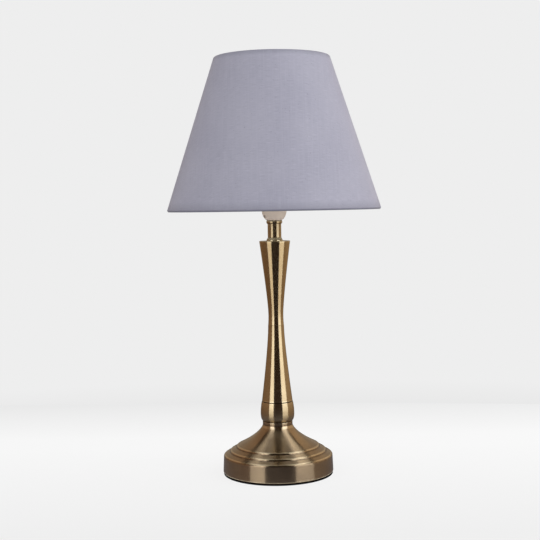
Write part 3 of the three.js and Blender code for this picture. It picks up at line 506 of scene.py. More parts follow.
def eased(corners: Sequence[Corner], steps: int = 6) -> list[Point]:
    """An outline through corners, where a corner's third number is how far its rounding reaches.

    Args:
        corners: radius, height and perhaps rounding of each corner, in mm.
        steps: how many steps a rounding has.

    Returns:
        The outline's points in mm.
    """
    outline: list[Point] = []
    for i, corner in enumerate(corners):
        here = Vector(corner[:2])
        if len(corner) < 3 or not corner[2]:
            outline.append((here.x, here.y))
            continue
        beside = []
        for j in (i - 1, (i + 1) % len(corners)):
            side = Vector(corners[j][:2]) - here
            beside.append(here + side.normalized() * min(corner[2], ROUNDING_SHARE * side.length))
        outline += bezier([beside[0], here, beside[1]], steps)
    return outline


def supported(outline: Sequence[Point], closed: bool, spacing: float, guard: float = 0.12) -> list[Point]:
    """Adds points to an outline's long straight runs, so that flats stay flat and long runs bend finely.

    Args:
        outline: points in mm.
        closed: whether the last point joins the first.
        spacing: the longest step in mm.
        guard: how close to each end of a long run a point is added.

    Returns:
        The denser outline.
    """
    dense: list[Point] = []
    count = len(outline)
    for i in range(count if closed else count - 1):
        start, end = Vector(outline[i]), Vector(outline[(i + 1) % count])
        length = (end - start).length
        dense.append((start.x, start.y))
        if length < 4 * guard:
            continue
        pieces = max(1, math.ceil(length / spacing))
        shares = [guard / length, *(k / pieces for k in range(1, pieces)), 1 - guard / length]
        dense += [tuple(start.lerp(end, share)) for share in shares]
    return dense if closed else [*dense, outline[-1]]


def wear_along(outline: Sequence[Point], closed: bool, reach: float = 0.9) -> list[float]:
    """How proud or sheltered each outline point is, from how sharply the outline turns within a reach.

    Args:
        outline: points in mm, up the outside and down the inside.
        closed: whether the last point joins the first.
        reach: how far to look to each side, in mm.

    Returns:
        A value for each point: above 0 on a proud edge, below 0 in a groove.
    """
    count = len(outline)
    points = [Vector(p) for p in outline]

    def walked(i: int, step: int) -> Vector:
        """The first point at least the reach away, going one way along the outline.

        Args:
            i: the point to start from.
            step: 1 to go on along the outline, -1 to go back.

        Returns:
            The point, or the outline's end.
        """
        gone = 0.0
        at = i
        while gone < reach:
            ahead = at + step
            if not closed and not 0 <= ahead < count:
                break
            gone += (points[ahead % count] - points[at]).length
            at = ahead % count
        return points[at]

    values = []
    for i, point in enumerate(points):
        before, after = point - walked(i, -1), walked(i, 1) - point
        crossed = before.x * after.y - before.y * after.x
        turns = before.length and after.length
        values.append(math.atan2(crossed, before.dot(after)) / (math.pi / 2) if turns else 0.0)
    return values


def placed(name: str, data: ID) -> Object:
    """Puts a mesh, lamp or camera in the scene.

    Args:
        name: its object's name.
        data: what the object shows.

    Returns:
        The object.
    """
    made = bpy.data.objects.new(name, data)
    bpy.context.scene.collection.objects.link(made)
    return made


def new_mesh(name: str, vertices: Sequence[Sequence[float]], faces: Sequence[Sequence[int]],
             places: dict[str, list[Point]], values: dict[str, list[float]]) -> Object:
    """A smooth-shaded mesh object with its texture places and surface values.

    Args:
        name: the piece's name.
        vertices: corners in metres.
        faces: vertex numbers of each face, seen from outside anticlockwise.
        places: texture maps by name, one point for each corner of each face in turn.
        values: surface values by name, one for each vertex.

    Returns:
        The object, in the scene.
    """
    mesh = bpy.data.meshes.new(name)
    mesh.from_pydata(vertices, [], faces)
    for map_name, points in places.items():
        layer = mesh.uv_layers.new(name=map_name)
        layer.uv.foreach_set("vector", [value for point in points for value in point])
    for value_name, numbers in values.items():
        mesh.attributes.new(value_name, "FLOAT", "POINT").data.foreach_set("value", numbers)
    mesh.shade_smooth()
    mesh.set_sharp_from_angle(angle=SHARP_ANGLE)
    return placed(name, mesh)


@dataclass(frozen=True)
class Band:
    """A band round a turned piece that sets its wear value: a groove where the dark dip stays, a painted
    shade line, a painted highlight line, or a plain stretch.
    """

    height: float
    half: float = 0.52  # half its width
    wear_and_painted_light: float = -0.6  # from -0.6 for a dark groove or painted shade line to 0.5 for a painted highlight line

    def holds(self, height: float) -> bool:
        """Whether a height in mm lies in the band."""
        return abs(height - self.height) < self.half

    def above(self, foot: float) -> "Band":
        """The same band with its height counted from a foot."""
        return Band(foot + self.height, self.half, self.wear_and_painted_light)


def lathe(name: str, outline: Sequence[Point], segments: int, spacing: float = 6.0,
          relief: Relief | None = None, bands: Sequence[Band] = ()) -> Object:
    """Turns an outline about the lamp's axis into a closed mesh.

    Args:
        name: the piece's name.
        outline: points in mm, up the outside and down the inside; it closes on itself or on the axis.
        segments: how many steps a full turn has.
        spacing: the longest step along the outline, in mm.
        relief: gives how far outwards a point moves, from its radius, height and turn.
        bands: its dark grooves, painted shade lines and painted highlight lines, of which a later one covers
            an earlier one.

    Returns:
        The turned object.
    """
    closed = outline[0][0] > AXIS_R
    points = supported(outline, closed, spacing)
    wear_and_painted_light = wear_along(points, closed)
    for band in bands:
        wear_and_painted_light = [band.wear_and_painted_light if band.holds(height) else worn for worn, (_, height) in zip(wear_and_painted_light, points)]
    vertices, numbers, rows = [], [], []
    for (radius, height), worn in zip(points, wear_and_painted_light):
        steps = segments if radius > AXIS_R else 1
        row = []
        for j in range(steps):
            turn = 2 * math.pi * j / segments - math.pi
            out = (radius + (relief(radius, height, turn) if relief else 0)) * MM
            row.append(len(vertices))
            vertices.append((out * math.sin(turn), -out * math.cos(turn), height * MM))
            numbers.append(worn)
        rows.append(row)
    lengths = [0.0]
    for start, end in zip(points, [*points[1:], points[0]]):
        lengths.append(lengths[-1] + math.dist(start, end) * MM)
    faces, places = [], []
    for i in range(len(rows) if closed else len(rows) - 1):
        low, high = rows[i], rows[(i + 1) % len(rows)]
        for j in range(segments):
            corners = [(low, j, i), (low, j + 1, i), (high, j + 1, i + 1), (high, j, i + 1)]
            if len(low) == 1:
                corners.pop(1)
            if len(high) == 1:
                corners.pop(2)
            faces.append([row[k % len(row)] for row, k, _ in corners])
            places += [(k / segments, lengths[step]) for _, k, step in corners]
    return new_mesh(name, vertices, faces, {"turned": places}, {"wear_and_painted_light": numbers})


@dataclass(frozen=True)
class Thread:
    """A rolled screw thread round a turned wall."""

    radius: float
    bottom: float
    top: float
    pitch: float
    depth: float  # below 0 for a thread cut inwards from the radius
    steps: int = 8  # wall points in each pitch
    margin: float = 0.05  # how far off its radius a point still belongs to the wall

    def relief(self, radius: float, height: float, turn: float) -> float:
        """How far a point of the wall moves for the thread.

        Args:
            radius: the point's radius in mm.
            height: its height in mm.
            turn: its turn from the front in radians.

        Returns:
            The outward move in mm.
        """
        if abs(radius - self.radius) > self.margin or not self.bottom < height < self.top:
            return 0.0
        fade = min(1.0, (height - self.bottom) / self.pitch, (self.top - height) / self.pitch)
        phase = (height - self.bottom) / self.pitch - turn / (2 * math.pi)
        return self.depth * fade * (0.5 - 0.5 * math.cos(2 * math.pi * phase))

    def dense(self) -> list[Point]:
        """Wall points close enough together to carry the thread, going up."""
        steps = max(self.steps, round((self.top - self.bottom) / self.pitch * self.steps))
        return [(self.radius, self.bottom + (self.top - self.bottom) * i / steps) for i in range(steps + 1)]


def tube(name: str, path: Sequence[Vector], radii: Sequence[float], closed: bool,
         sides: int = 12) -> Object:
    """A round wire along a path.

    Args:
        name: the piece's name.
        path: points in mm.
        radii: the wire's radius at each point, in mm.
        closed: whether the path joins its own start.
        sides: how many sides the wire's section has.

    Returns:
        The wire object.
    """
    count = len(path)
    vertices, faces, places = [], [], []
    across = None
    for i, point in enumerate(path):
        ahead = path[(i + 1) % count] if closed or i + 1 < count else point
        behind = path[i - 1] if closed or i else point
        along = (ahead - behind).normalized()
        start = across or along.orthogonal()
        across = (start - along * start.dot(along)).normalized()
        beside = along.cross(across)
        for k in range(sides):
            angle = 2 * math.pi * k / sides
            side = (across * math.cos(angle) + beside * math.sin(angle)) * radii[i]
            vertices.append(tuple((point + side) * MM))
    for i in range(count if closed else count - 1):
        for k in range(sides):
            ring, above, after = i * sides, ((i + 1) % count) * sides, (k + 1) % sides
            faces.append([ring + k, ring + after, above + after, above + k])
            places += [(u / sides, v / count) for u, v in ((k, i), (k + 1, i), (k + 1, i + 1), (k, i + 1))]
    if not closed:
        for ring in (list(range(sides))[::-1], list(range((count - 1) * sides, count * sides))):
            faces.append(ring)
            places += [(0.0, 0.0)] * sides
    return new_mesh(name, vertices, faces, {"turned": places}, {})


def box_mesh(name: str, half: Sequence[float], centre: Sequence[float]) -> Object:
    """A closed block that cuts slots and notches.

    Args:
        name: the object's name.
        half: half its size along x, y and z, in mm.
        centre: its middle in mm.

    Returns:
        The block object.
    """
    mesh = bpy.data.meshes.new(name)
    build = bmesh.new()
    size = Matrix.Diagonal((2 * half[0] * MM, 2 * half[1] * MM, 2 * half[2] * MM, 1))
    bmesh.ops.create_cube(build, size=1, matrix=Matrix.Translation(Vector(centre) * MM) @ size)
    build.to_mesh(mesh)
    build.free()
    return placed(name, mesh)


def drilled(body: Object, *tools: Object) -> Object:
    """Cuts closed tools out of a closed body and removes the tools.

    Args:
        body: the object to cut.
        tools: the objects to cut with.

    Returns:
        The body, cut.
    """
    for tool in tools:
        cut = body.modifiers.new("cut", "BOOLEAN")
        cut.operation = "DIFFERENCE"
        cut.solver = "MANIFOLD"
        cut.object = tool
    state = bpy.context.evaluated_depsgraph_get()
    shape = body.evaluated_get(state)
    mesh = bpy.data.meshes.new_from_object(shape, preserve_all_data_layers=True, depsgraph=state)
    body.modifiers.clear()
    mesh.name = body.name
    mesh.set_sharp_from_angle(angle=SHARP_ANGLE)
    body.data = mesh
    for tool in tools:
        bpy.data.objects.remove(tool)
    return body


def towards(turn: float, height: float) -> Matrix:
    """The place of something turned upright that points outwards instead.

    Args:
        turn: the way it points, in radians from the front towards +X.
        height: the height of its axis in mm.

    Returns:
        The matrix that lays it down.
    """
    return (Matrix.Translation((0, 0, height * MM)) @ Matrix.Rotation(turn, 4, "Z")
            @ Matrix.Rotation(math.radians(90), 4, "X"))


@dataclass(frozen=True)
class Envelope:
    """The space that a frame node takes up round the lamp's axis, in mm."""

    radius: float
    bottom: float
    top: float

    @classmethod
    def of(cls, node: str) -> "Envelope":
        """Reads a node's space from the frame."""
        low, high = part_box(node)
        return cls((high[0] - low[0]) / 2 / MM, low[2] / MM, high[2] / MM)


@dataclass
class Assembly:
    """A sub-assembly of the lamp, which reports each of its pieces as it fits it."""

    title: str

    def fit(self, piece: Object, finish: Finish, slot: Slot, body: Body, *nodes: str) -> None:
        """Dresses a new piece and fixes it to its body in place of its frame nodes.

        Args:
            piece: the piece's object.
            finish: what its surface is.
            slot: the record's slot for that surface; not used.
            body: what it moves with.
            nodes: the frame nodes that it stands for.
        """
        piece.data.materials.clear()
        piece.data.materials.append(finish.material())
        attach(piece, body.value)
        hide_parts(*nodes)
        log.info("%s: %s, %s, %d faces", self.title, piece.name, finish.name, len(piece.data.polygons))

    def dress(self, finish: Finish, *nodes: str) -> None:
        """Gives frame nodes that stay as they are their surface.

        Args:
            finish: what their surface is.
            nodes: the frame nodes.
        """
        for node in nodes:
            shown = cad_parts[node]
            shown.data.materials.clear()
            shown.data.materials.append(finish.material())
            log.info("%s: %s, %s, kept from the frame", self.title, node, finish.name)


@dataclass
class Base(Assembly):
    """The weighted base: felt pad, closing plate, spun shell, ballast and the wiring under the stem."""

    title: str = "base"
    side_lean: float = 0.84
    edge_width: float = 1.45
    edge_height: float = 1.4
    tread_width: float = 5.75
    tread_rise: float = 2.97
    riser_width: float = 1.95
    riser_height: float = 2.32
    treads: int = 2
    upright: Point = (0.6, 1.5)  # how far in and up each riser stands nearly upright
    nose: float = 1.0  # rounding of the proud edges
    root: float = 0.2  # rounding of the inner corners
    shoulder: float = 0.4  # rounding where a riser bends in to the next tread
    fine: float = 0.15  # rounding of the crease and the neck's top edge
    flare_height: float = 24.0
    flare_steps: int = 28
    foot_reach: float = 23.05  # how far in and up the flare carries on
    foot_lift: float = 10.9
    neck_handle: float = 2.95  # how far down it carries on from the neck
    neck_radius: float = 17.6
    neck_height: float = 4.2
    crease_above: float = 0.5
    crease: float = 0.22
    groove: float = 0.45
    groove_edge: float = 0.5  # how far below the collar the groove starts
    groove_floor: float = 0.2
    wall: float = 1.3
    foot_gap: float = 0.8
    foot_bevel: float = 0.8
    foot_rounding: float = 0.3
    rod_hole: float = 5.4
    pad_rounding: float = 0.25
    hole_radius: float = 5.7
    hole_reach: Point = (40.0, 80.0)  # from where to where the drill cuts, from the axis
    bush_radius: float = 5.3
    bush_bore: float = 3.3
    bush_mouth: float = 1.1  # rounding that the lead bends over
    bush_flange: float = 2.0
    # painted shade lines and painted highlight lines, by height from the wall's edge, from each riser's root
    # and from the crease
    edge_painted_lines: tuple[Band, ...] = (Band(-0.1, 0.8, -0.3), Band(1.25, 0.5, 0.34))
    root_painted_lines: tuple[Band, ...] = (Band(0.45, 0.6, -0.36), Band(1.9, 0.55, 0.34))
    crease_painted_lines: tuple[Band, ...] = (Band(-2.4, 1.5, 0.25), Band(0.0, 0.3, -0.5))
    spacing: float = 2.0
    segments: int = 128
    bush_segments: int = 64
    hole_segments: int = 48

    def build(self) -> None:
        """Builds and dresses the whole base."""
        self.pad()
        self.shell()
        self.bush()
        self.dress(HARDBOARD, "base_plate")
        self.dress(PAINTED_IRON, "base_ballast")
        self.dress(ZINC, "rod_washer", "rod_lock_washer", "rod_nut", "terminal_screw_live",
                   "terminal_screw_earth", "terminal_screw_neutral")
        self.dress(NICKEL_BRASS, "earth_tag")
        self.dress(WHITE_RESIN, "terminal_block")
        self.dress(BROWN_PVC, "live_lead")
        self.dress(BLUE_PVC, "neutral_lead")
        self.dress(GREEN_PVC, "earth_lead")

    def pad(self) -> None:
        """The felt pad, with its cut edge slightly eased."""
        space = Envelope.of("foot_pad")
        outline = eased([(0, space.bottom), (space.radius, space.bottom, self.pad_rounding),
                         (space.radius, space.top, self.pad_rounding), (0, space.top)])
        self.fit(lathe("felt_pad", outline, self.segments), BLACK_FELT, Slot.FELT, Body.ROOT, "foot_pad")

    def outside(self, space: Envelope) -> list[Corner]:
        """The shell's outside from its rim up to its neck.

        Args:
            space: the shell's space in the frame.

        Returns:
            Corners in mm.
        """
        steps_top = space.top - self.neck_height - self.flare_height
        steps_height = self.edge_height + self.treads * (self.tread_rise + self.riser_height)
        radius, height = space.radius - self.side_lean, steps_top - steps_height
        foot = space.bottom + self.foot_gap
        corners: list[Corner] = [(space.radius - self.foot_bevel, foot, self.foot_rounding),
                                 (space.radius, foot, self.foot_bevel), (radius, height, self.nose)]
        moves = [(self.edge_width, self.edge_height, self.nose)]
        for _ in range(self.treads):
            moves += [(self.tread_width, self.tread_rise, self.root), (*self.upright, self.nose),
                      (self.riser_width - self.upright[0], self.riser_height - self.upright[1],
                       self.shoulder)]
        for inwards, up, rounding in moves:
            radius -= inwards
            height += up
            corners.append((radius, height, rounding))
        flare_top = height + self.flare_height
        neck = self.neck_radius
        flare = bezier([(radius, height), (radius - self.foot_reach, height + self.foot_lift),
                        (neck, flare_top - self.neck_handle), (neck, flare_top)], self.flare_steps)
        crease, floor = flare_top + self.crease_above, neck - self.groove
        return [*corners, *flare[1:], (neck, crease - self.crease, self.fine),
                (neck - self.crease, crease, self.fine), (neck, crease + self.crease, self.fine),
                (neck, space.top - self.groove_edge, self.fine),
                (floor, space.top - self.groove_floor, self.groove_floor / 2), (floor, space.top)]

    def shell(self) -> None:
        """The spun shell, with the lead's hole drilled at the back."""
        space = Envelope.of("base_shell")
        outside = self.outside(space)
        inside = [(c[0] - self.wall, c[1] - self.wall) for c in reversed(outside[2:-6])]
        outline = eased([*outside, (self.rod_hole, space.top), (self.rod_hole, space.top - self.wall),
                         (self.neck_radius - self.wall, space.top - self.wall), *inside,
                         (space.radius - self.wall, space.bottom + self.foot_gap)])
        shell = lathe("spun_shell", outline, self.segments, self.spacing, bands=self.bands(outside, space))
        low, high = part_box("cord_bush")
        start, end = self.hole_reach
        drill = eased([(0, start), (self.hole_radius, start), (self.hole_radius, end), (0, end)])
        hole = lathe("hole", drill, self.hole_segments)
        hole.data.transform(towards(math.pi, (low[2] + high[2]) / 2 / MM))
        self.fit(drilled(shell, hole), BASE_BRASS, Slot.BRASS, Body.ROOT, "base_shell")

    def bands(self, outside: Sequence[Corner], space: Envelope) -> list[Band]:
        """The turned lines: painted shade lines at the wall's edge and up each riser, a dark line in the
        crease and a groove at the collar, and painted highlight lines above the edge, on the noses and under
        the crease.

        Args:
            outside: the shell's outside.
            space: the shell's space in the frame.

        Returns:
            The bands, with a painted highlight line near each dark one.
        """
        edge = outside[2][1]
        crease = space.top - self.neck_height + self.crease_above
        lines = [band.above(edge) for band in self.edge_painted_lines]
        for corner in outside:
            if corner[2:] == (self.root,):
                lines += [band.above(corner[1]) for band in self.root_painted_lines]
        return [*lines, *(band.above(crease) for band in self.crease_painted_lines), Band(space.top)]

    def bush(self) -> None:
        """The bush that lines the lead's way in, with a rounded bore for the lead to bend over."""
        low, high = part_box("cord_bush")
        inner, outer = low[1] / MM, high[1] / MM
        flange, step = (high[0] - low[0]) / 2 / MM, outer - self.bush_flange
        outline = eased([(self.bush_radius, inner), (self.bush_radius, step), (flange, step, 0.2),
                         (flange, outer, 0.8), (self.bush_bore, outer, self.bush_mouth),
                         (self.bush_bore, inner)])
        bush = lathe("cord_bush_moulded", outline, self.bush_segments)
        bush.data.transform(towards(math.pi, (low[2] + high[2]) / 2 / MM))
        self.fit(bush, BLACK_RESIN, Slot.BLACK, Body.ROOT, "cord_bush")


@dataclass
class Stem(Assembly):
    """The turned stem: foot collar, waisted spindles, neck and bead, threaded on one rod."""

    title: str = "stem"
    rod_hole: float = 5.4
    collar_foot: float = 17.9
    belly: float = 8.6
    belly_handle: float = 2.4
    collar_top: float = 18.4
    lip: float = 0.55  # height of the plain lip at each end of the collar
    groove_half: float = 0.25
    waist_above_joint: float = 11.0
    waist: float = 8.73
    foot: float = 18.05
    top: float = 18.15
    lower_top: float = 9.35
    lower_straight: float = 20.6
    upper_straight: float = 17.4
    wall: float = 1.6
    web: float = 2.0
    seat: float = 0.3
    groove: float = 0.45
    chamfer: float = 0.2
    top_rounding: float = 1.3
    wall_ends: Point = (0.25, 1.0)  # how far from its ends the upper spindle's wall starts and stops
    tube_radius: float = 8.0
    tube_wall: float = 1.3
    tube_rounding: float = 0.15
    cone_foot: float = 0.8
    bead_step: float = 0.5  # how far the bead's edges lie inside its widest
    bead_rounding: Point = (0.4, 0.8)  # at its edges and at its widest
    bead_rise: Point = (1.4, 1.0)  # from its foot up and from its top down to its widest
    joint_band: Band = Band(0.0, 0.5, 0.05)
    # a painted highlight band at the upper spindle's rounded top edge
    top_painted_highlight: Band = Band(-0.9, 0.8, 0.34)
    tube_band: Band = Band(0.0, 2.0, 0.05)
    cone_band: Band = Band(0.0, 0.3, -0.45)
    bead_band: Band = Band(0.0, 0.5, -0.45)
    spacing: float = 3.0
    curve_steps: int = 10
    segments: int = 96

    def build(self) -> None:
        """Builds and dresses the stem's pieces from the base up."""
        self.collar()
        self.lower()
        self.upper()
        self.cone()
        self.sleeve()
        self.bead()
        self.dress(ZINC, "stem_rod")

    def collar(self) -> None:
        """The barrel-shaped collar on the base, with half a groove at each end."""
        space = Envelope.of("foot_collar")
        belly, wide, hole = space.bottom + self.belly, space.radius, self.rod_hole
        low = self.collar_foot - self.groove
        high = self.collar_top - self.groove
        foot = bezier([(self.collar_foot, space.bottom + self.lip), (wide, space.bottom + self.belly_handle),
                       (wide, belly)], self.curve_steps)
        barrel = bezier([(wide, belly), (wide, (belly + space.top) / 2),
                         (self.collar_top, space.top - self.lip)], self.curve_steps)
        outline = eased([(hole, space.bottom), (low, space.bottom), (low, space.bottom + self.groove_half),
                         *foot, *barrel[1:], (high, space.top - self.groove_half), (high, space.top),
                         (hole, space.top)])
        bands = (Band(space.bottom), Band(space.top))
        collar = lathe("turned_collar", outline, self.segments, self.spacing, bands=bands)
        self.fit(collar, STEM_BRASS, Slot.BRASS, Body.ROOT, "foot_collar")

    def taper(self, away: float, length: float, straight: float, narrow: float, wide: float) -> float:
        """The radius along a spindle that leaves its narrow end straight and opens out like a horn.

        Args:
            away: the distance from the narrow end in mm.
            length: the spindle's length.
            straight: how far each end's own direction carries.
            narrow: the radius of the narrow end.
            wide: the radius of the wide end.

        Returns:
            The radius in mm.
        """
        bow = length - 2 * straight
        share = away / (straight + math.sqrt(straight * straight + bow * away))
        return narrow + (wide - narrow) * share * share

    def lower_radius(self, height: float) -> float:
        """The lower spindle's radius at a height, both in mm."""
        foot, joint = Envelope.of("lower_spindle").bottom, Envelope.of("upper_spindle").bottom
        return self.taper(joint - height, joint - foot, self.lower_straight, self.lower_top, self.foot)

    def upper_radius(self, height: float) -> float:
        """The upper spindle's radius at a height on either side of its waist.

        Args:
            height: the height in mm.

        Returns:
            The radius in mm.
        """
        space = Envelope.of("upper_spindle")
        waist = space.bottom + self.waist_above_joint
        return self.taper(abs(height - waist), space.top - waist, self.upper_straight, self.waist, self.top)

    def wall_points(self, radius_at: Callable[[float], float], bottom: float, top: float,
                    inset: float = 0.0, steps: int = 40) -> list[Corner]:
        """A spindle's wall between two heights, going up.

        Args:
            radius_at: gives the spindle's radius at a height.
            bottom: the lower height in mm.
            top: the upper height.
            inset: how far inside the surface the wall lies.
            steps: how many steps the wall has.

        Returns:
            The wall's points in mm.
        """
        heights = [bottom + (top - bottom) * i / steps for i in range(steps + 1)]
        return [(radius_at(z) - inset, z) for z in heights]

    def lower(self) -> None:
        """The lower spindle, closed at the joint by a web with a register."""
        space, joint = Envelope.of("lower_spindle"), Envelope.of("upper_spindle").bottom
        outside = self.wall_points(self.lower_radius, space.bottom + 2 * self.groove_half,
                                   joint - self.chamfer)
        inside = self.wall_points(self.lower_radius, space.bottom, joint - self.web, self.wall)[::-1]
        foot, edge = self.foot - self.groove, outside[-1][0]
        register = self.upper_radius(joint) - self.wall - self.seat
        outline = eased([(foot, space.bottom), (foot, space.bottom + self.chamfer), *outside,
                         (edge - self.chamfer, joint), (register, joint), (register, space.top),
                         (self.rod_hole, space.top), (self.rod_hole, joint - self.web), *inside])
        bands = (Band(space.bottom), self.joint_band.above(joint))
        spindle = lathe("turned_spindle_lower", outline, self.segments, self.spacing, bands=bands)
        self.fit(spindle, STEM_BRASS, Slot.BRASS, Body.ROOT, "lower_spindle")

    def upper(self) -> None:
        """The upper spindle, with a small chamfer at the joint and a rounded top edge."""
        space = Envelope.of("upper_spindle")
        outside = self.wall_points(self.upper_radius, space.bottom + self.wall_ends[0],
                                   space.top - self.wall_ends[1])
        inside = self.wall_points(self.upper_radius, space.bottom, space.top - self.web, self.wall)[::-1]
        outline = eased([(outside[0][0] - self.chamfer, space.bottom), *outside,
                         (self.top, space.top, self.top_rounding), (self.rod_hole, space.top),
                         (self.rod_hole, space.top - self.web), *inside])
        bands = (self.joint_band.above(space.bottom), self.top_painted_highlight.above(space.top))
        spindle = lathe("turned_spindle_upper", outline, self.segments, self.spacing, bands=bands)
        self.fit(spindle, STEM_BRASS, Slot.BRASS, Body.ROOT, "upper_spindle")

    def cone(self) -> None:
        """The small cone that carries the neck tube."""
        foot = Envelope.of("neck_foot")
        outline = eased([(foot.radius, foot.bottom), (foot.radius, foot.bottom + self.cone_foot, 0.4),
                         (self.tube_radius, foot.top, 0.5), (self.rod_hole, foot.top),
                         (self.rod_hole, foot.bottom)])
        bands = (self.cone_band.above(foot.bottom),)
        cone = lathe("turned_neck_cone", outline, self.segments, bands=bands)
        self.fit(cone, SHADED_NECK_BRASS, Slot.BRASS, Body.ROOT, "neck_foot")

    def sleeve(self) -> None:
        """The plain neck tube."""
        pipe = Envelope.of("neck_tube")
        inner = pipe.radius - self.tube_wall
        outline = eased([(pipe.radius, pipe.bottom, self.tube_rounding),
                         (pipe.radius, pipe.top, self.tube_rounding), (inner, pipe.top),
                         (inner, pipe.bottom)])
        bands = (self.tube_band.above(pipe.bottom), self.tube_band.above(pipe.top))
        sleeve = lathe("turned_neck_sleeve", outline, self.segments, bands=bands)
        self.fit(sleeve, SHADED_NECK_BRASS, Slot.BRASS, Body.ROOT, "neck_tube")

    def bead(self) -> None:
        """The bead under the lampholder."""
        bead, hole = Envelope.of("neck_bead"), self.rod_hole
        narrow, (edge, belly) = bead.radius - self.bead_step, self.bead_rounding
        outline = eased([(self.tube_radius, bead.bottom),
                         (narrow, bead.bottom + self.bead_step / 2, edge),
                         (bead.radius, bead.bottom + self.bead_rise[0], belly),
                         (bead.radius, bead.top - self.bead_rise[1], belly), (narrow, bead.top, edge),
                         (hole, bead.top), (hole, bead.bottom)])
        bands = (self.bead_band.above(bead.bottom), self.bead_band.above(bead.top))
        ring = lathe("turned_neck_bead", outline, self.segments, bands=bands)
        self.fit(ring, SHADED_NECK_BRASS, Slot.BRASS, Body.ROOT, "neck_bead")


@dataclass
class Lampholder(Assembly):
    """The small screw-cap lampholder: domed cap, insulator and contacts, and a threaded outer skirt."""

    title: str = "lampholder"
    cap_foot: float = 9.0
    shoulder: float = 14.3
    shoulder_z: float = 8.7
    cheek: Point = (13.0, 2.5)
    dome_steps: int = 14
    cap_wall: float = 1.8
    cap_floor: float = 3.2
    cap_rounding: float = 0.35
    rebate: Point = (0.4, 1.5)  # how far out and down the cap's rim is cut away inside
    rod_hole: float = 5.4
    lock_turn: float = math.radians(-62)
    lock_z: float = 4.9
    lock_radius: float = 1.5
    lock_start: float = 5.3
    lock_end: float = 11.9
    lock_chamfer: float = 0.3
    recess_gap: float = 0.3
    recess_floor: float = 1.0  # how far outside the rod's hole the recess starts
    slot_half: float = 0.3
    slot_depth: float = 0.7
    bore: float = 12.0
    flange: float = 17.6
    flange_top: float = 7.0
    flange_thickness: float = 2.5
    thread_radius: float = 14.0
    thread_pitch: float = 2.0
    thread_depth: float = 0.55
    thread_ends: Point = (0.4, 1.2)  # plain wall below and above the thread
    lip: float = 9.3
    lip_thickness: float = 2.0
    cap_spacing: float = 2.0
    skirt_spacing: float = 3.0
    segments: int = 96
    screw_segments: int = 32

    def build(self) -> None:
        """Builds and dresses the lampholder."""
        self.cap()
        self.lock_screw()
        self.skirt()
        self.dress(WHITE_RESIN, "holder_insulator")
        self.dress(NICKEL_BRASS, "holder_screw_live", "holder_screw_neutral", "holder_centre_contact",
                   "holder_thread_shell")

    def cap(self) -> None:
        """The domed cap, with the lock screw's recess in its cheek."""
        space = Envelope.of("holder_cap")
        foot, rim, hole = space.bottom, space.top, self.rod_hole
        dome = bezier([(self.cap_foot, foot), (self.cheek[0], foot + self.cheek[1]),
                       (self.shoulder, foot + self.shoulder_z)], self.dome_steps)
        inner = self.shoulder - self.cap_wall
        outline = eased([*dome, (space.radius, rim, self.cap_rounding),
                         (space.radius - self.cap_wall + self.rebate[0], rim), (inner, rim - self.rebate[1]),
                         (inner, foot + self.shoulder_z), (self.cap_foot, foot + self.cap_floor),
                         (hole, foot + self.cap_floor), (hole, foot)])
        cap = lathe("domed_cap", outline, self.segments, self.cap_spacing)
        wide, near, far = self.lock_radius + self.recess_gap, hole + self.recess_floor, 2 * space.radius
        recess = lathe("recess", eased([(0, near), (wide, near), (wide, far), (0, far)]),
                       self.screw_segments)
        recess.data.transform(towards(self.lock_turn, foot + self.lock_z))
        self.fit(drilled(cap, recess), CREAM_RESIN, Slot.CREAM, Body.ROOT, "holder_cap")

    def lock_screw(self) -> None:
        """The slotted grub screw that holds the cap on the rod."""
        start, end, radius = self.lock_start, self.lock_end, self.lock_radius
        pin = eased([(0, start), (radius - self.lock_chamfer, start), (radius, start + self.lock_chamfer),
                     (radius, end, 0.15), (0, end)])
        blade = box_mesh("slot", (self.slot_half, 2 * radius, self.slot_depth), (0, 0, end))
        screw = drilled(lathe("grub_screw", pin, self.screw_segments), blade)
        screw.data.transform(towards(self.lock_turn, Envelope.of("holder_cap").bottom + self.lock_z))
        self.fit(screw, ZINC, Slot.ZINC, Body.ROOT, "holder_lock_screw")

    def skirt(self) -> None:
        """The outer sleeve: a flange that carries the shade and a coarse thread for its clamp ring."""
        space, cap = Envelope.of("holder_skirt"), Envelope.of("holder_cap")
        foot, flange = cap.top, cap.top + self.flange_top
        under, wall = flange - self.flange_thickness, self.thread_radius
        thread = Thread(wall, flange + self.thread_ends[0], space.top - self.thread_ends[1],
                        self.thread_pitch, -self.thread_depth)
        outline = eased([(cap.radius, foot, 0.3), (cap.radius, under, 0.4), (self.flange, under, 0.4),
                         (self.flange, flange, 0.5), (wall, flange), *thread.dense(), (wall, space.top, 0.7),
                         (self.lip, space.top, 0.5), (self.lip, space.top - self.lip_thickness),
                         (self.bore, space.top - self.lip_thickness), (self.bore, foot)])
        skirt = lathe("threaded_skirt", outline, self.segments, self.skirt_spacing, thread.relief)
        self.fit(skirt, CREAM_RESIN, Slot.CREAM, Body.ROOT, "holder_skirt")


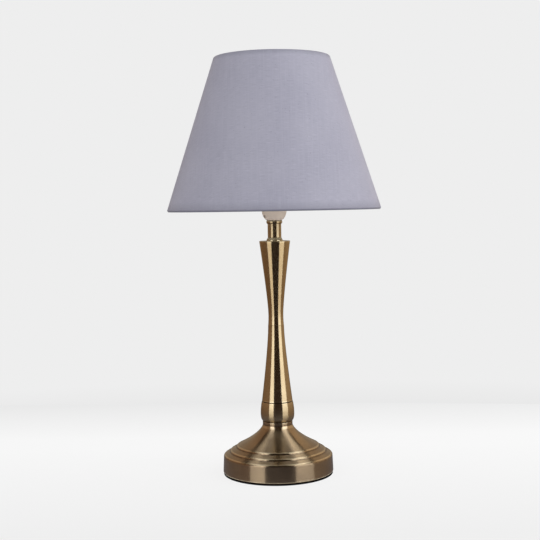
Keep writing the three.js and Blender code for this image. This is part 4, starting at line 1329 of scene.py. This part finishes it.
@dataclass
class ShadeFitting(Assembly):
    """What holds the shade on the lampholder: the reducer ring below it and the clamp ring above."""

    title: str = "shade fitting"
    spigot: float = 20.6
    ring_hole: float = 14.4
    flange_thickness: float = 1.2
    hub: float = 17.8
    grip_thickness: float = 2.2
    lobes: int = 24
    lobe_depth: float = 0.7
    lobe_gap: float = 1.0  # how far outside the hub the lobes start
    edge: float = 0.3  # rounding of the fine edges
    thread_pitch: float = 2.0
    thread_depth: float = 0.5
    thread_end: float = 0.5  # plain wall at both ends of the thread
    spacing: float = 3.0
    reducer_segments: int = 96
    clamp_segments: int = 192

    def build(self) -> None:
        """Builds and dresses both rings."""
        self.reducer()
        self.clamp()

    def reducer(self) -> None:
        """The flanged reducer ring."""
        space = Envelope.of("reducer_ring")
        step = space.bottom + self.flange_thickness
        outline = eased([(space.radius, space.bottom, self.edge), (space.radius, step, self.edge),
                         (self.spigot, step), (self.spigot, space.top, 0.4),
                         (self.ring_hole, space.top, self.edge), (self.ring_hole, space.bottom, self.edge)])
        reducer = lathe("flanged_reducer", outline, self.reducer_segments)
        self.fit(reducer, WHITE_RESIN, Slot.WHITE, Body.REDUCER, "reducer_ring")

    def clamp(self) -> None:
        """The clamp ring: a lobed grip, a plain hub and a threaded bore."""
        space = Envelope.of("clamp_ring")
        thread = Thread(self.ring_hole, space.bottom + self.thread_end, space.top - self.thread_end,
                        self.thread_pitch, self.thread_depth)
        grip_top = space.bottom + self.grip_thickness

        def relief(radius: float, height: float, turn: float) -> float:
            """The grip's lobes and the bore's thread.

            Args:
                radius: the point's radius in mm.
                height: its height in mm.
                turn: its turn from the front in radians.

            Returns:
                The outward move in mm.
            """
            if radius > self.hub + self.lobe_gap:
                return -self.lobe_depth * (0.5 - 0.5 * math.cos(self.lobes * turn))
            return thread.relief(radius, height, turn)

        outline = eased([(space.radius, space.bottom, 0.35), (space.radius, grip_top, 0.6),
                         (self.hub, grip_top, 0.5), (self.hub, space.top, 0.9),
                         (self.ring_hole, space.top, 0.4), *thread.dense()[::-1],
                         (self.ring_hole, space.bottom, self.edge)])
        ring = lathe("lobed_clamp", outline, self.clamp_segments, self.spacing, relief)
        self.fit(ring, CREAM_RESIN, Slot.CREAM, Body.CLAMP, "clamp_ring")


@dataclass(frozen=True)
class Column:
    """A line up a wrapped sheet, which may stand off along the rim and proud of the sheet where it laps."""

    turn: float
    shift: float = 0.0
    lift: float = 0.0

    def turn_at(self, radius: float) -> float:
        """The column's turn from the front in radians, where the sheet has a given radius in mm."""
        return self.turn + self.shift / radius


@dataclass
class Shade(Assembly):
    """The tapered shade: a wire frame, a styrene liner and a woven cover rolled round both rings."""

    title: str = "shade"
    bottom_ring: float = 122.4  # radius of the wire's middle
    top_ring: float = 65.9
    wire: float = 1.2
    cover_thickness: float = 0.4
    liner_thickness: float = 0.5
    gap: float = 0.3
    hem: float = 8.0
    fitter_bore: float = 21.0
    fitter_rounding: float = 0.7
    spoke_level: float = 12.0  # how far each spoke runs level at its ends
    spoke_bend: float = 5.0
    spoke_gap: float = 0.1
    weld_swell: float = 0.22  # how much thicker a spoke is at its welds
    weld_reach: float = 2.2
    spokes: int = 3
    notch_from: int = 10  # how many path steps of the bottom hem and roll a notch for a spoke takes
    lap_turn: float = math.radians(155)
    lap_half: float = 5.0
    lap_lift: float = 0.3
    lap_edge: float = 0.2  # how far along the rim the lap's cut edge slopes
    lap_ease: float = 4.0  # how far beyond the lap the cloth comes down to the liner
    lap_clear_deg: float = 9.0  # how far from the lap the even columns stop
    lap_near_deg: Point = (7.2, 5.3)  # two columns before the lap
    # painted shade on the cloth near both rims
    bottom_rim_shade: float = 9.0  # how far up from the bottom the painted shade reaches
    top_rim_shade: float = 5.0
    rim_shade_share: float = 0.45
    near_rim: Numbers = (0.6, 1.4, 3.0, 5.0, 7.0, 9.0)  # closer rows beside both rims
    flank_rows: int = 30
    liner_rows: int = 40
    roll_steps: int = 12
    hem_rows: int = 4
    hem_ease: Point = (1.6, 0.8)  # how soon and on what bend a hem reaches the liner
    segments: int = 240
    fitter_segments: int = 128

    def __post_init__(self) -> None:
        """Works out the slanting line through the middles of both rings."""
        lower, upper = Envelope.of("shade_bottom_ring"), Envelope.of("shade_top_ring")
        self.start = Vector((self.bottom_ring, (lower.bottom + lower.top) / 2))
        run = Vector((self.top_ring, (upper.bottom + upper.top) / 2)) - self.start
        self.slant = run.length
        self.along = run.normalized()
        self.outward = Vector((self.along.y, -self.along.x))
        self.roll = self.cover_thickness + self.gap + self.wire
        self.half_angle = math.asin(-self.along.x)

    def build(self) -> None:
        """Builds and dresses the shade from its frame outwards."""
        self.rings()
        self.fitter()
        self.liner()
        self.cover()

    def on_slant(self, along: float, outside: float) -> Point:
        """The radius and height of a place given along the slant and outside it, in mm."""
        return tuple(self.start + self.along * along + self.outward * outside)

    def rings(self) -> None:
        """The two wire rings inside the rolled rims."""
        for name, node, radius in (("bottom_wire", "shade_bottom_ring", self.bottom_ring),
                                   ("top_wire", "shade_top_ring", self.top_ring)):
            space = Envelope.of(node)
            height = (space.bottom + space.top) / 2
            turns = [2 * math.pi * i / self.segments for i in range(self.segments)]
            path = [Vector((radius * math.sin(t), -radius * math.cos(t), height)) for t in turns]
            wire = tube(name, path, [self.wire] * len(path), True)
            self.fit(wire, WHITE_COAT, Slot.WIRE, Body.SHADE, node)

    def fitter(self) -> None:
        """The fitter ring and its spokes, thicker at both ends where they are welded."""
        space = Envelope.of("shade_fitter_ring")
        corners = ((space.radius, space.bottom), (space.radius, space.top), (self.fitter_bore, space.top),
                   (self.fitter_bore, space.bottom))
        outline = eased([(*corner, self.fitter_rounding) for corner in corners])
        ring = lathe("fitter_ring", outline, self.fitter_segments)
        self.fit(ring, WHITE_COAT, Slot.WIRE, Body.SHADE, "shade_fitter_ring")
        start, end = space.radius, self.bottom_ring - self.wire
        top, low = (space.bottom + space.top) / 2, self.start.y
        side = eased([(start + self.spoke_gap, top), (start + self.spoke_level, top, self.spoke_bend),
                      (end - self.spoke_level, low, self.spoke_bend), (end - self.spoke_gap, low)], steps=8)
        side = supported(side, False, spacing=4.0, guard=1.0)
        for i in range(self.spokes):
            turn = math.pi + 2 * math.pi * i / self.spokes
            path = [Vector((r * math.sin(turn), -r * math.cos(turn), z)) for r, z in side]
            radii = [self.weld(min(r - start, end - r)) for r, _ in side]
            spoke = tube(f"welded_spoke_{i + 1}", path, radii, False)
            self.fit(spoke, WHITE_COAT, Slot.WIRE, Body.SHADE, f"shade_spoke_{i + 1}")

    def weld(self, away: float) -> float:
        """The spoke's radius at a distance from its nearer end, with the weld's small swelling."""
        return self.wire * (1 + self.weld_swell * max(0.0, 1 - away / self.weld_reach))

    def even_columns(self, start: float, end: float) -> list[Column]:
        """Evenly spaced columns between two turns, placed so that each spoke falls midway between two.

        Args:
            start: the turn where they may start, in radians from the front.
            end: the turn where they stop.

        Returns:
            The columns in order of turn.
        """
        step = 2 * math.pi / self.segments
        first, last = math.ceil(start / step - 0.5), math.floor(end / step - 0.5)
        return [Column((j + 0.5) * step) for j in range(first, last + 1)]

    def lapped_columns(self) -> list[Column]:
        """The cover's columns: from its lapping end, even all round, to the end that lies under it.

        Returns:
            The columns in order of turn.
        """
        turn, half, lift = self.lap_turn, self.lap_half, self.lap_lift
        start, clear = turn - 2 * math.pi, math.radians(self.lap_clear_deg)
        lap = [Column(start, shift, lift) for shift in (self.lap_edge - half, 0.0, half)]
        lap.append(Column(start, half + self.lap_ease))
        near = [Column(turn - math.radians(angle)) for angle in self.lap_near_deg]
        return [*lap, *self.even_columns(start + clear, turn - clear), *near, Column(turn, -half)]

    def strip(self, name: str, path: Sequence[Point], thickness: float, rims: Sequence[float],
              columns: Sequence[Column], notched: int = 0) -> Object:
        """A sheet wrapped once round the cone, with its flat cut as its texture map.

        Args:
            name: the piece's name.
            path: the sheet's middle line in mm, with its outer side on the right.
            thickness: the sheet's thickness in mm.
            rims: for each path point, how much painted shade darkens it near a rim, from 0 to 1.
            columns: the lines up the sheet, in order of turn.
            notched: how many path steps from its start are open at each spoke.

        Returns:
            The sheet object.
        """
        points = [Vector(place) for place in path]
        count, last = len(columns), len(points) - 1
        vertices, numbers, flat = [], [], []
        run = self.bottom_ring / math.sin(self.half_angle)
        for i, point in enumerate(points):
            line = (points[min(i + 1, last)] - points[max(i - 1, 0)]).normalized()
            normal = Vector((line.y, -line.x))
            run -= (point - points[i - 1]).length if i else 0
            flat.append(run * MM)
            for side in (1, -1):
                for column in columns:
                    lift = column.lift if side > 0 else 0.0
                    radius, height = point + normal * (side * thickness / 2 + lift)
                    turn = column.turn_at(radius)
                    vertices.append((radius * math.sin(turn) * MM, -radius * math.cos(turn) * MM,
                                     height * MM))
                    numbers.append(rims[i])

        faces, places = [], []

        def face(corners: Sequence[tuple[int, int, int]]) -> None:
            """Adds one face, with its place on the flat cut.

            Args:
                corners: the path step, side and column of each corner.
            """
            for i, _, j in corners:
                turn = columns[j % count].turn_at(points[i].x) + 2 * math.pi * (j // count)
                spread = turn * math.sin(self.half_angle)
                places.append((flat[i] * math.sin(spread), -flat[i] * math.cos(spread)))
            faces.append([(2 * i + side) * count + j % count for i, side, j in corners])

        for j in range(count):
            begin = notched if self.at_spoke(columns[j], columns[(j + 1) % count]) else 0
            for i in range(begin, last):
                face([(i, 0, j), (i, 0, j + 1), (i + 1, 0, j + 1), (i + 1, 0, j)])
                face([(i, 1, j + 1), (i, 1, j), (i + 1, 1, j), (i + 1, 1, j + 1)])
            face([(begin, 1, j), (begin, 1, j + 1), (begin, 0, j + 1), (begin, 0, j)])
            face([(last, 0, j), (last, 0, j + 1), (last, 1, j + 1), (last, 1, j)])
            for i in range(begin):
                face([(i, 0, j), (i + 1, 0, j), (i + 1, 1, j), (i, 1, j)])
                face([(i, 1, j + 1), (i + 1, 1, j + 1), (i + 1, 0, j + 1), (i, 0, j + 1)])
        return new_mesh(name, vertices, faces, {"flat_cut": places}, {"rim": numbers})

    def at_spoke(self, start: Column, end: Column) -> bool:
        """Whether a spoke comes through between two neighbouring columns."""
        spokes = (math.pi * (2 * i / self.spokes - 1) for i in range(self.spokes))
        return any(start.turn < spoke < end.turn for spoke in spokes)

    def liner(self) -> None:
        """The styrene liner, between the rings."""
        middle = self.roll - self.cover_thickness - self.gap - self.liner_thickness / 2
        inset = self.wire + self.gap
        length = self.slant - 2 * inset
        rows = self.liner_rows
        path = [self.on_slant(inset + length * i / rows, middle) for i in range(rows + 1)]
        columns = self.even_columns(-math.pi, math.pi)
        sheet = self.strip("styrene_liner", path, self.liner_thickness, [0.0] * len(path), columns)
        self.fit(sheet, STYRENE, Slot.LINER, Body.SHADE, "shade_liner")

    def cover(self) -> None:
        """The woven cover: up the outside, rolled in round both rings and hemmed against the liner."""
        middle = self.roll - self.cover_thickness / 2
        turns = [math.pi * i / self.roll_steps for i in range(self.roll_steps + 1)]
        top_roll = [self.on_slant(self.slant + middle * math.sin(t), middle * math.cos(t)) for t in turns]
        bottom_roll = [self.on_slant(-middle * math.sin(t), middle * math.cos(t)) for t in reversed(turns)]
        near, rows = self.near_rim, self.flank_rows
        flank = self.slant - 2 * near[-1]
        rise = [*near, *(near[-1] + flank * i / rows for i in range(1, rows)),
                *(self.slant - away for away in reversed(near))]
        flank_rise = [self.on_slant(along, middle) for along in rise]
        shares = [i / self.hem_rows for i in range(1, self.hem_rows + 1)]
        bottom_hem = [self.hem_point(self.hem * share, share) for share in reversed(shares)]
        top_hem = [self.hem_point(self.slant - self.hem * share, share) for share in shares]
        path = [*bottom_hem, *bottom_roll, *flank_rise, *top_roll, *top_hem]
        rims = [self.rim_shade_at(point) for point in path]
        sheet = self.strip("woven_cover", path, self.cover_thickness, rims, self.lapped_columns(),
                           self.notch_from)
        self.fit(sheet, MAUVE_WEAVE, Slot.FABRIC, Body.SHADE, "shade_cover")

    def hem_point(self, along: float, share: float) -> Point:
        """A point of a hem, which leaves the roll and comes to lie on the liner's inner side.

        Args:
            along: its place along the slant in mm.
            share: how far it is from the roll, from 0 to 1 at the hem's end.

        Returns:
            Its radius and height in mm.
        """
        roll = self.roll - self.cover_thickness / 2
        flat = self.wire + self.gap - self.liner_thickness - 2 * self.gap - self.cover_thickness / 2
        soon, bend = self.hem_ease
        return self.on_slant(along, -roll + (flat + roll) * min(1.0, soon * share) ** bend)

    def rim_shade_at(self, point: Point) -> float:
        """How much painted shade darkens the cloth at a place.

        Args:
            point: its radius and height in mm.

        Returns:
            A share of painted shade that rises towards the nearer rim, and is 1 under the bottom roll.
        """
        along = (Vector(point) - self.start).dot(self.along)
        bottom = 1 - max(along, 0.0) / self.bottom_rim_shade
        top = 1 - max(self.slant - along, 0.0) / self.top_rim_shade
        under = min(1.0, max(0.0, -along / self.wire))
        return self.rim_shade_share * max(bottom, top, 0.0) + (1 - self.rim_shade_share) * under

    def flat_size(self) -> tuple[float, float, float]:
        """Works out the flat cut.

        Returns:
            Its area, and the width and depth of the cloth that it is cut from, in metres.
        """
        turned_in = math.pi * (self.roll - self.cover_thickness / 2) + self.hem
        outer = self.bottom_ring / math.sin(self.half_angle) + turned_in
        inner = self.top_ring / math.sin(self.half_angle) - turned_in
        spread = 2 * math.pi * math.sin(self.half_angle)
        area = spread / 2 * (outer ** 2 - inner ** 2) * MM * MM
        width = 2 * outer * math.sin(spread / 2) * MM
        depth = (outer - inner * math.cos(spread / 2)) * MM
        return area, width, depth


@dataclass
class Bulb(Assembly):
    """The small screw-cap candle bulb: cap, insulator, tip, housing, board and opal dome."""

    title: str = "bulb"
    thread_radius: float = 6.95
    thread_top: float = 18.5
    flare_top: float = 22.0
    flare_radius: float = 8.3
    flare_lip: float = 0.4
    wall: float = 0.5
    hole: float = 4.0
    spigot: float = 6.05
    spigot_gap: float = 0.9
    housing_foot: float = 8.7
    housing_lip: Point = (0.5, 2.0)  # how far out and up its lip stands from its foot
    housing_rim: float = 3.0
    dome_wall: float = 1.2
    dome_belly: float = 8.0
    dome_tip: float = 1.6
    dome_inset: float = 0.6  # how far its foot lies inside the housing
    dome_rise: Numbers = (0.45, 0.75, 0.985)  # shares of its height for its handles and end
    dome_pull: float = 0.4  # the share of its radius that the upper handle keeps
    dome_steps: int = 28
    thread_pitch: float = 2.822
    thread_depth: float = 0.75
    thread_ends: Point = (1.2, 0.8)
    inner_gap: float = 0.8  # how far the cap's inside lies inside its thread's roots
    cap_spacing: float = 2.0
    spacing: float = 3.0
    segments: int = 96

    def build(self) -> None:
        """Builds and dresses the bulb from its tip up."""
        self.cap()
        self.housing()
        self.dome()
        self.dress(ZINC, "bulb_tip_contact")
        self.dress(BLACK_GLASS, "bulb_insulator")
        self.dress(MILL_ALUMINIUM, "bulb_led_board")

    def cap(self) -> None:
        """The rolled screw cap."""
        space, tip = Envelope.of("bulb_cap"), Envelope.of("bulb_tip_contact").bottom
        wall, flare = self.thread_radius, self.flare_radius
        thread_top, flare_top = tip + self.thread_top, tip + self.flare_top
        thread = Thread(wall, space.bottom + self.thread_ends[0], thread_top - self.thread_ends[1],
                        self.thread_pitch, -self.thread_depth)
        inner = wall - self.wall - self.inner_gap
        outline = eased([(self.hole, space.bottom, 0.1), (wall, space.bottom, 0.6), *thread.dense(),
                         (wall, thread_top, 0.5), (flare, flare_top, 0.5), (flare, space.top),
                         (flare - self.wall, space.top), (flare - self.wall, flare_top + self.flare_lip),
                         (inner, thread_top), (inner, space.bottom + 2 * self.wall),
                         (self.hole, space.bottom + self.wall)])
        cap = lathe("rolled_screw_cap", outline, self.segments, self.cap_spacing, thread.relief)
        self.fit(cap, ZINC, Slot.ZINC, Body.BULB, "bulb_cap")

    def housing(self) -> None:
        """The white tapered housing between cap and dome."""
        space, cap = Envelope.of("bulb_housing"), Envelope.of("bulb_cap")
        spigot, foot = self.spigot - self.spigot_gap, self.housing_foot
        outline = eased([(0, space.bottom), (spigot, space.bottom, 0.4), (spigot, cap.top),
                         (foot, cap.top, 0.3),
                         (foot + self.housing_lip[0], cap.top + self.housing_lip[1], 1.0),
                         (space.radius, space.top - self.housing_rim, self.housing_rim),
                         (space.radius, space.top, 0.8), (0, space.top)])
        housing = lathe("tapered_housing", outline, self.segments, self.spacing)
        self.fit(housing, WHITE_RESIN, Slot.WHITE, Body.BULB, "bulb_housing")

    def dome(self) -> None:
        """The opal dome, drawn up to its candle tip."""
        space = Envelope.of("bulb_dome")
        belly = space.bottom + self.dome_belly

        def side(wall: float) -> list[Corner]:
            """The dome's side from its belly to its tip.

            Args:
                wall: how far inside its surface, in mm.

            Returns:
                The side's points in mm.
            """
            radii = (space.radius - wall, self.dome_pull * space.radius, self.dome_tip)
            heights = (belly + share * (space.top - wall - belly) for share in self.dome_rise)
            return bezier([(radii[0], belly), *zip(radii, heights)], self.dome_steps)

        foot = Envelope.of("bulb_housing").radius - self.dome_inset
        outline = eased([(0, space.top - self.dome_wall), *reversed(side(self.dome_wall)),
                         (foot - self.dome_wall, space.bottom), (foot, space.bottom, 0.3), *side(0.0),
                         (0, space.top)])
        dome = lathe("opal_dome", outline, self.segments, self.spacing)
        self.fit(dome, OPAL_SHELL, Slot.OPAL, Body.BULB, "bulb_dome")


@dataclass
class Studio:
    """A pale table and backdrop, two tall soft lamps, and the dim room that metal reflects.

    Lengths are in metres, and turns in degrees from the front towards +X.
    """

    backdrop: str = "eeeeee"
    horizon: Numbers = (-0.182, -0.163, 0.955, 1.0)  # where the backdrop pales, and its tones
    room_strength: float = 0.44
    lamp_radiance: float = 1.45
    lamp_distance: float = 1.7
    lamp_height: float = 3.2
    left_lamp: Point = (-60, -28)
    right_lamp: Point = (36, 77)
    fill_turn: float = 92.0
    fill_size: float = 2.0
    fill_height: float = 1.0
    fill_power: float = 12.0
    card_radius: float = 2.5
    card_step: float = 6.0
    rear_turn: float = 150.0
    room_foot: float = -0.5
    room_top: float = 2.7
    gap_top: float = 3.0
    ceiling_corners: int = 48
    overhead_drop: float = 0.05  # how far the overhead cards hang under the ceiling
    left_overhead: tuple[Point, ...] = ((-0.8, -0.9), (-1.75, -0.6), (-1.1, 1.9), (-0.55, 1.9))
    right_overhead: tuple[Point, ...] = ((0.55, -0.9), (2.0, -0.5), (1.25, 1.9), (0.6, 1.9))
    near_sheet: Point = (0.067, 0.35)
    far_sheet: Point = (0.35, 2.4)
    sheet_height: float = 0.0006
    sheet_gloss: float = 0.08
    sheet_steps: int = 96
    table_centre: Point = (-0.52, -5.6)
    table_edge: float = 6.067
    table_corners: int = 256
    table_held: float = 0.85  # how much of the table's tone is held against shadows
    table_near: Numbers = (-0.25, 0.13, 0.905, 1.0)  # where it pales from the front, and its tones
    table_far: Numbers = (0.2, 0.445, 1.0, 0.87)  # where it dims again behind the lamp

    def build(self) -> None:
        """Builds the world, the table, the lamps and the room."""
        self.world()
        self.table()
        self.softbox("left_softbox", *self.left_lamp)
        self.softbox("right_softbox", *self.right_lamp)
        self.lamp("fill", self.fill_turn, (self.fill_size, self.fill_size), self.fill_height,
                  self.fill_power, False)
        self.room()
        self.gloss_sheet("near_sheet", self.near_sheet, "3a3028", "6b6a70")
        self.gloss_sheet("far_sheet", self.far_sheet, "ac9c84", "000000")

    def seen_rays(self, tree: NodeTree) -> Node:
        """Tells the rays that look at a surface from those that only carry its light.

        Args:
            tree: the world's or material's node tree.

        Returns:
            A node that gives 1 for camera, mirrored and passing rays, and else 0.
        """
        path = add_node(tree, "LightPath").outputs
        seen = add_node(tree, "Math", (path["Is Camera Ray"], path["Is Glossy Ray"]), operation="MAXIMUM")
        return add_node(tree, "Math", (seen, path["Is Transmission Ray"]), operation="MAXIMUM")

    def world(self) -> None:
        """An even pale surround that also lights the lamp."""
        world = bpy.data.worlds.new("pale_surround")
        world.use_nodes = True
        tree = world.node_tree
        tree.nodes.clear()
        aim = add_node(tree, "SeparateXYZ", (add_node(tree, "TexCoord").outputs["Generated"],))
        tone = add_node(tree, "MapRange", (aim.outputs[2], *self.horizon))
        shown = add_node(tree, "Background", (linear(self.backdrop), tone))
        room = add_node(tree, "Background", (linear("ffffff"), self.room_strength))
        both = add_node(tree, "MixShader", (self.seen_rays(tree), room, shown))
        add_node(tree, "OutputWorld", {"Surface": both})
        bpy.context.scene.world = world

    def table(self) -> None:
        """A pale round table that ends behind the lamp and fades as the photographed one does."""
        mesh = bpy.data.meshes.new("table")
        build = bmesh.new()
        bmesh.ops.create_circle(build, cap_ends=True, segments=self.table_corners, radius=self.table_edge,
                                matrix=Matrix.Translation((*self.table_centre, 0)))
        build.to_mesh(mesh)
        build.free()
        material = empty_material("pale table, satin")
        tree = material.node_tree
        place = add_node(tree, "SeparateXYZ", (add_node(tree, "NewGeometry").outputs["Position"],))
        near = add_node(tree, "MapRange", (place.outputs[1], *self.table_near))
        far = add_node(tree, "MapRange", (place.outputs[1], *self.table_far))
        tone = add_node(tree, "Math", (near, far), operation="MINIMUM")
        cloth = add_node(tree, "BsdfDiffuse", (linear("e8e8e8"),))
        shown = add_node(tree, "Emission", (linear("ffffff"), tone))
        share = add_node(tree, "Math", (self.seen_rays(tree), self.table_held), operation="MULTIPLY")
        both = add_node(tree, "MixShader", (share, cloth, shown))
        add_node(tree, "OutputMaterial", {"Surface": both})
        mesh.materials.append(material)
        placed("table", mesh)

    def lamp(self, name: str, turn: float, size: Point, height: float, power: float, mirrored: bool) -> None:
        """A soft lamp that faces the axis and that the camera doesn't see.

        Args:
            name: the lamp's name.
            turn: where it stands.
            size: its width and height.
            height: how high its middle is.
            power: its power in watts.
            mirrored: whether metal mirrors it.
        """
        turn = math.radians(turn)
        data = bpy.data.lights.new(name, "AREA")
        data.shape = "RECTANGLE"
        data.size, data.size_y = size
        data.energy = power
        lamp = placed(name, data)
        lamp.location = (self.lamp_distance * math.sin(turn), -self.lamp_distance * math.cos(turn), height)
        lamp.rotation_euler = (math.radians(90), 0, turn)
        lamp.visible_camera = False
        lamp.visible_glossy = mirrored

    def softbox(self, name: str, start: float, end: float) -> None:
        """A tall lamp that spans two turns.

        Args:
            name: the lamp's name.
            start: where it starts.
            end: where it ends.
        """
        width = 2 * self.lamp_distance * math.tan(math.radians((end - start) / 2))
        power = self.lamp_radiance * math.pi * width * self.lamp_height
        self.lamp(name, (start + end) / 2, (width, self.lamp_height), self.lamp_height / 2, power, True)

    def room(self) -> None:
        """The dim room: dark between the lamps, warm brown at the sides and behind."""
        foot, top, rear = self.room_foot, self.room_top, self.rear_turn
        self.card("dark_gap", self.left_lamp[1], self.right_lamp[0], (foot, self.gap_top), "38281a")
        self.card("left_wall", -rear, self.left_lamp[0], (foot, top), "a88c74")
        self.card("right_wall", self.right_lamp[1], rear, (foot, top), "d0b89c")
        self.card("rear_wall", rear, 360 - rear, (foot, top), "a39686")
        turns = [2 * math.pi * i / self.ceiling_corners for i in range(self.ceiling_corners)]
        rim = [(self.card_radius * math.sin(t), self.card_radius * math.cos(t), top) for t in turns]
        self.reflected("ceiling", rim, [list(range(len(rim)))], "2b241e")
        overheads = (("left_overhead", self.left_overhead, "d6d3cd", 1.3),
                     ("right_overhead", self.right_overhead, "ece8e0", 1.5))
        for name, corners, colour, strength in overheads:
            hung = [(*corner, top - self.overhead_drop) for corner in corners]
            self.reflected(name, hung, [[0, 1, 2, 3]], colour, strength)

    def card(self, name: str, start: float, end: float, heights: Point, colour: str) -> None:
        """A dim curved card that only reflections see.

        Args:
            name: the card's name.
            start: the turn where it starts.
            end: the turn where it ends.
            heights: its lower and upper edge.
            colour: its colour as seen.
        """
        steps = max(2, math.ceil((end - start) / self.card_step))
        turns = [math.radians(start + (end - start) * i / steps) for i in range(steps + 1)]
        corners = [(self.card_radius * math.sin(turn), -self.card_radius * math.cos(turn), height)
                   for turn in turns for height in heights]
        faces = [[2 * i, 2 * i + 1, 2 * i + 3, 2 * i + 2] for i in range(steps)]
        self.reflected(name, corners, faces, colour)

    def reflected(self, name: str, corners: Sequence[Sequence[float]], faces: Sequence[Sequence[int]],
                  colour: str, strength: float = 1.0) -> None:
        """A glowing surface that only reflections see.

        Args:
            name: its name.
            corners: its corners.
            faces: the corner numbers of its faces.
            colour: its colour.
            strength: how brightly it glows.
        """
        material = empty_material(name)
        glow = add_node(material.node_tree, "Emission", (linear(colour), strength))
        add_node(material.node_tree, "OutputMaterial", {"Surface": glow})
        material.cycles.emission_sampling = "NONE"
        self.only_mirrored(corners, faces, material)

    def gloss_sheet(self, name: str, radii: Point, colour: str, haze: str) -> None:
        """A flat glossy ring on the table round the base, which only reflections see.

        Args:
            name: the ring's name.
            radii: its inner and outer radius.
            colour: how it tints what it mirrors.
            haze: its own dim colour.
        """
        steps = self.sheet_steps
        turns = [2 * math.pi * i / steps for i in range(steps)]
        corners = [(radius * math.sin(turn), -radius * math.cos(turn), self.sheet_height)
                   for turn in turns for radius in radii]
        afters = [(i + 1) % steps for i in range(steps)]
        faces = [[2 * i, 2 * after, 2 * after + 1, 2 * i + 1] for i, after in enumerate(afters)]
        material = empty_material(name)
        tree = material.node_tree
        gloss = add_node(tree, "BsdfGlossy", {"Color": linear(colour), "Roughness": self.sheet_gloss})
        glow = add_node(tree, "Emission", (linear(haze), 1.0))
        both = add_node(tree, "AddShader", (gloss, glow))
        add_node(tree, "OutputMaterial", {"Surface": both})
        self.only_mirrored(corners, faces, material)

    def only_mirrored(self, corners: Sequence[Sequence[float]], faces: Sequence[Sequence[int]],
                      material: Material) -> None:
        """Adds a surface that neither the camera nor diffuse light nor shadows see.

        Args:
            corners: its corners.
            faces: the corner numbers of its faces.
            material: its material, which has its name.
        """
        mesh = bpy.data.meshes.new(material.name)
        mesh.from_pydata(corners, [], faces)
        mesh.materials.append(material)
        card = placed(material.name, mesh)
        card.visible_camera = card.visible_diffuse = card.visible_shadow = False
        card.visible_transmission = card.visible_volume_scatter = False


@dataclass(frozen=True)
class Viewpoint:
    """The camera at the photograph's viewing angle. The photograph is 540 pixels square."""

    image_px: float = 540.0
    focal_px: float = 1079.28
    sensor_mm: float = 36.0
    place_mm: tuple[float, float, float] = (-6.0, -1262.18, 317.43)
    tilt_deg: float = 3.516
    roll_deg: float = 0.98

    def build(self) -> None:
        """Creates the scene's camera."""
        data = bpy.data.cameras.new("camera")
        data.sensor_width = self.sensor_mm
        data.lens = self.focal_px / self.image_px * self.sensor_mm
        data.dof.use_dof = False
        camera = placed("camera", data)
        look = Matrix.Rotation(math.radians(90 - self.tilt_deg), 4, "X") @ Matrix.Rotation(
            math.radians(-self.roll_deg), 4, "Z")
        camera.matrix_world = Matrix.Translation(Vector(self.place_mm) * MM) @ look
        bpy.context.scene.camera = camera


def main() -> None:
    """Builds the studio and the lamp."""
    logging.basicConfig(level=logging.INFO, format="%(message)s")
    settings = bpy.context.scene.view_settings
    settings.view_transform = "Standard"
    Viewpoint().build()
    Studio().build()
    for assembly in (Base(), Stem(), Lampholder(), ShadeFitting(), Shade(), Bulb()):
        assembly.build()


if __name__ == "__main__":
    main()
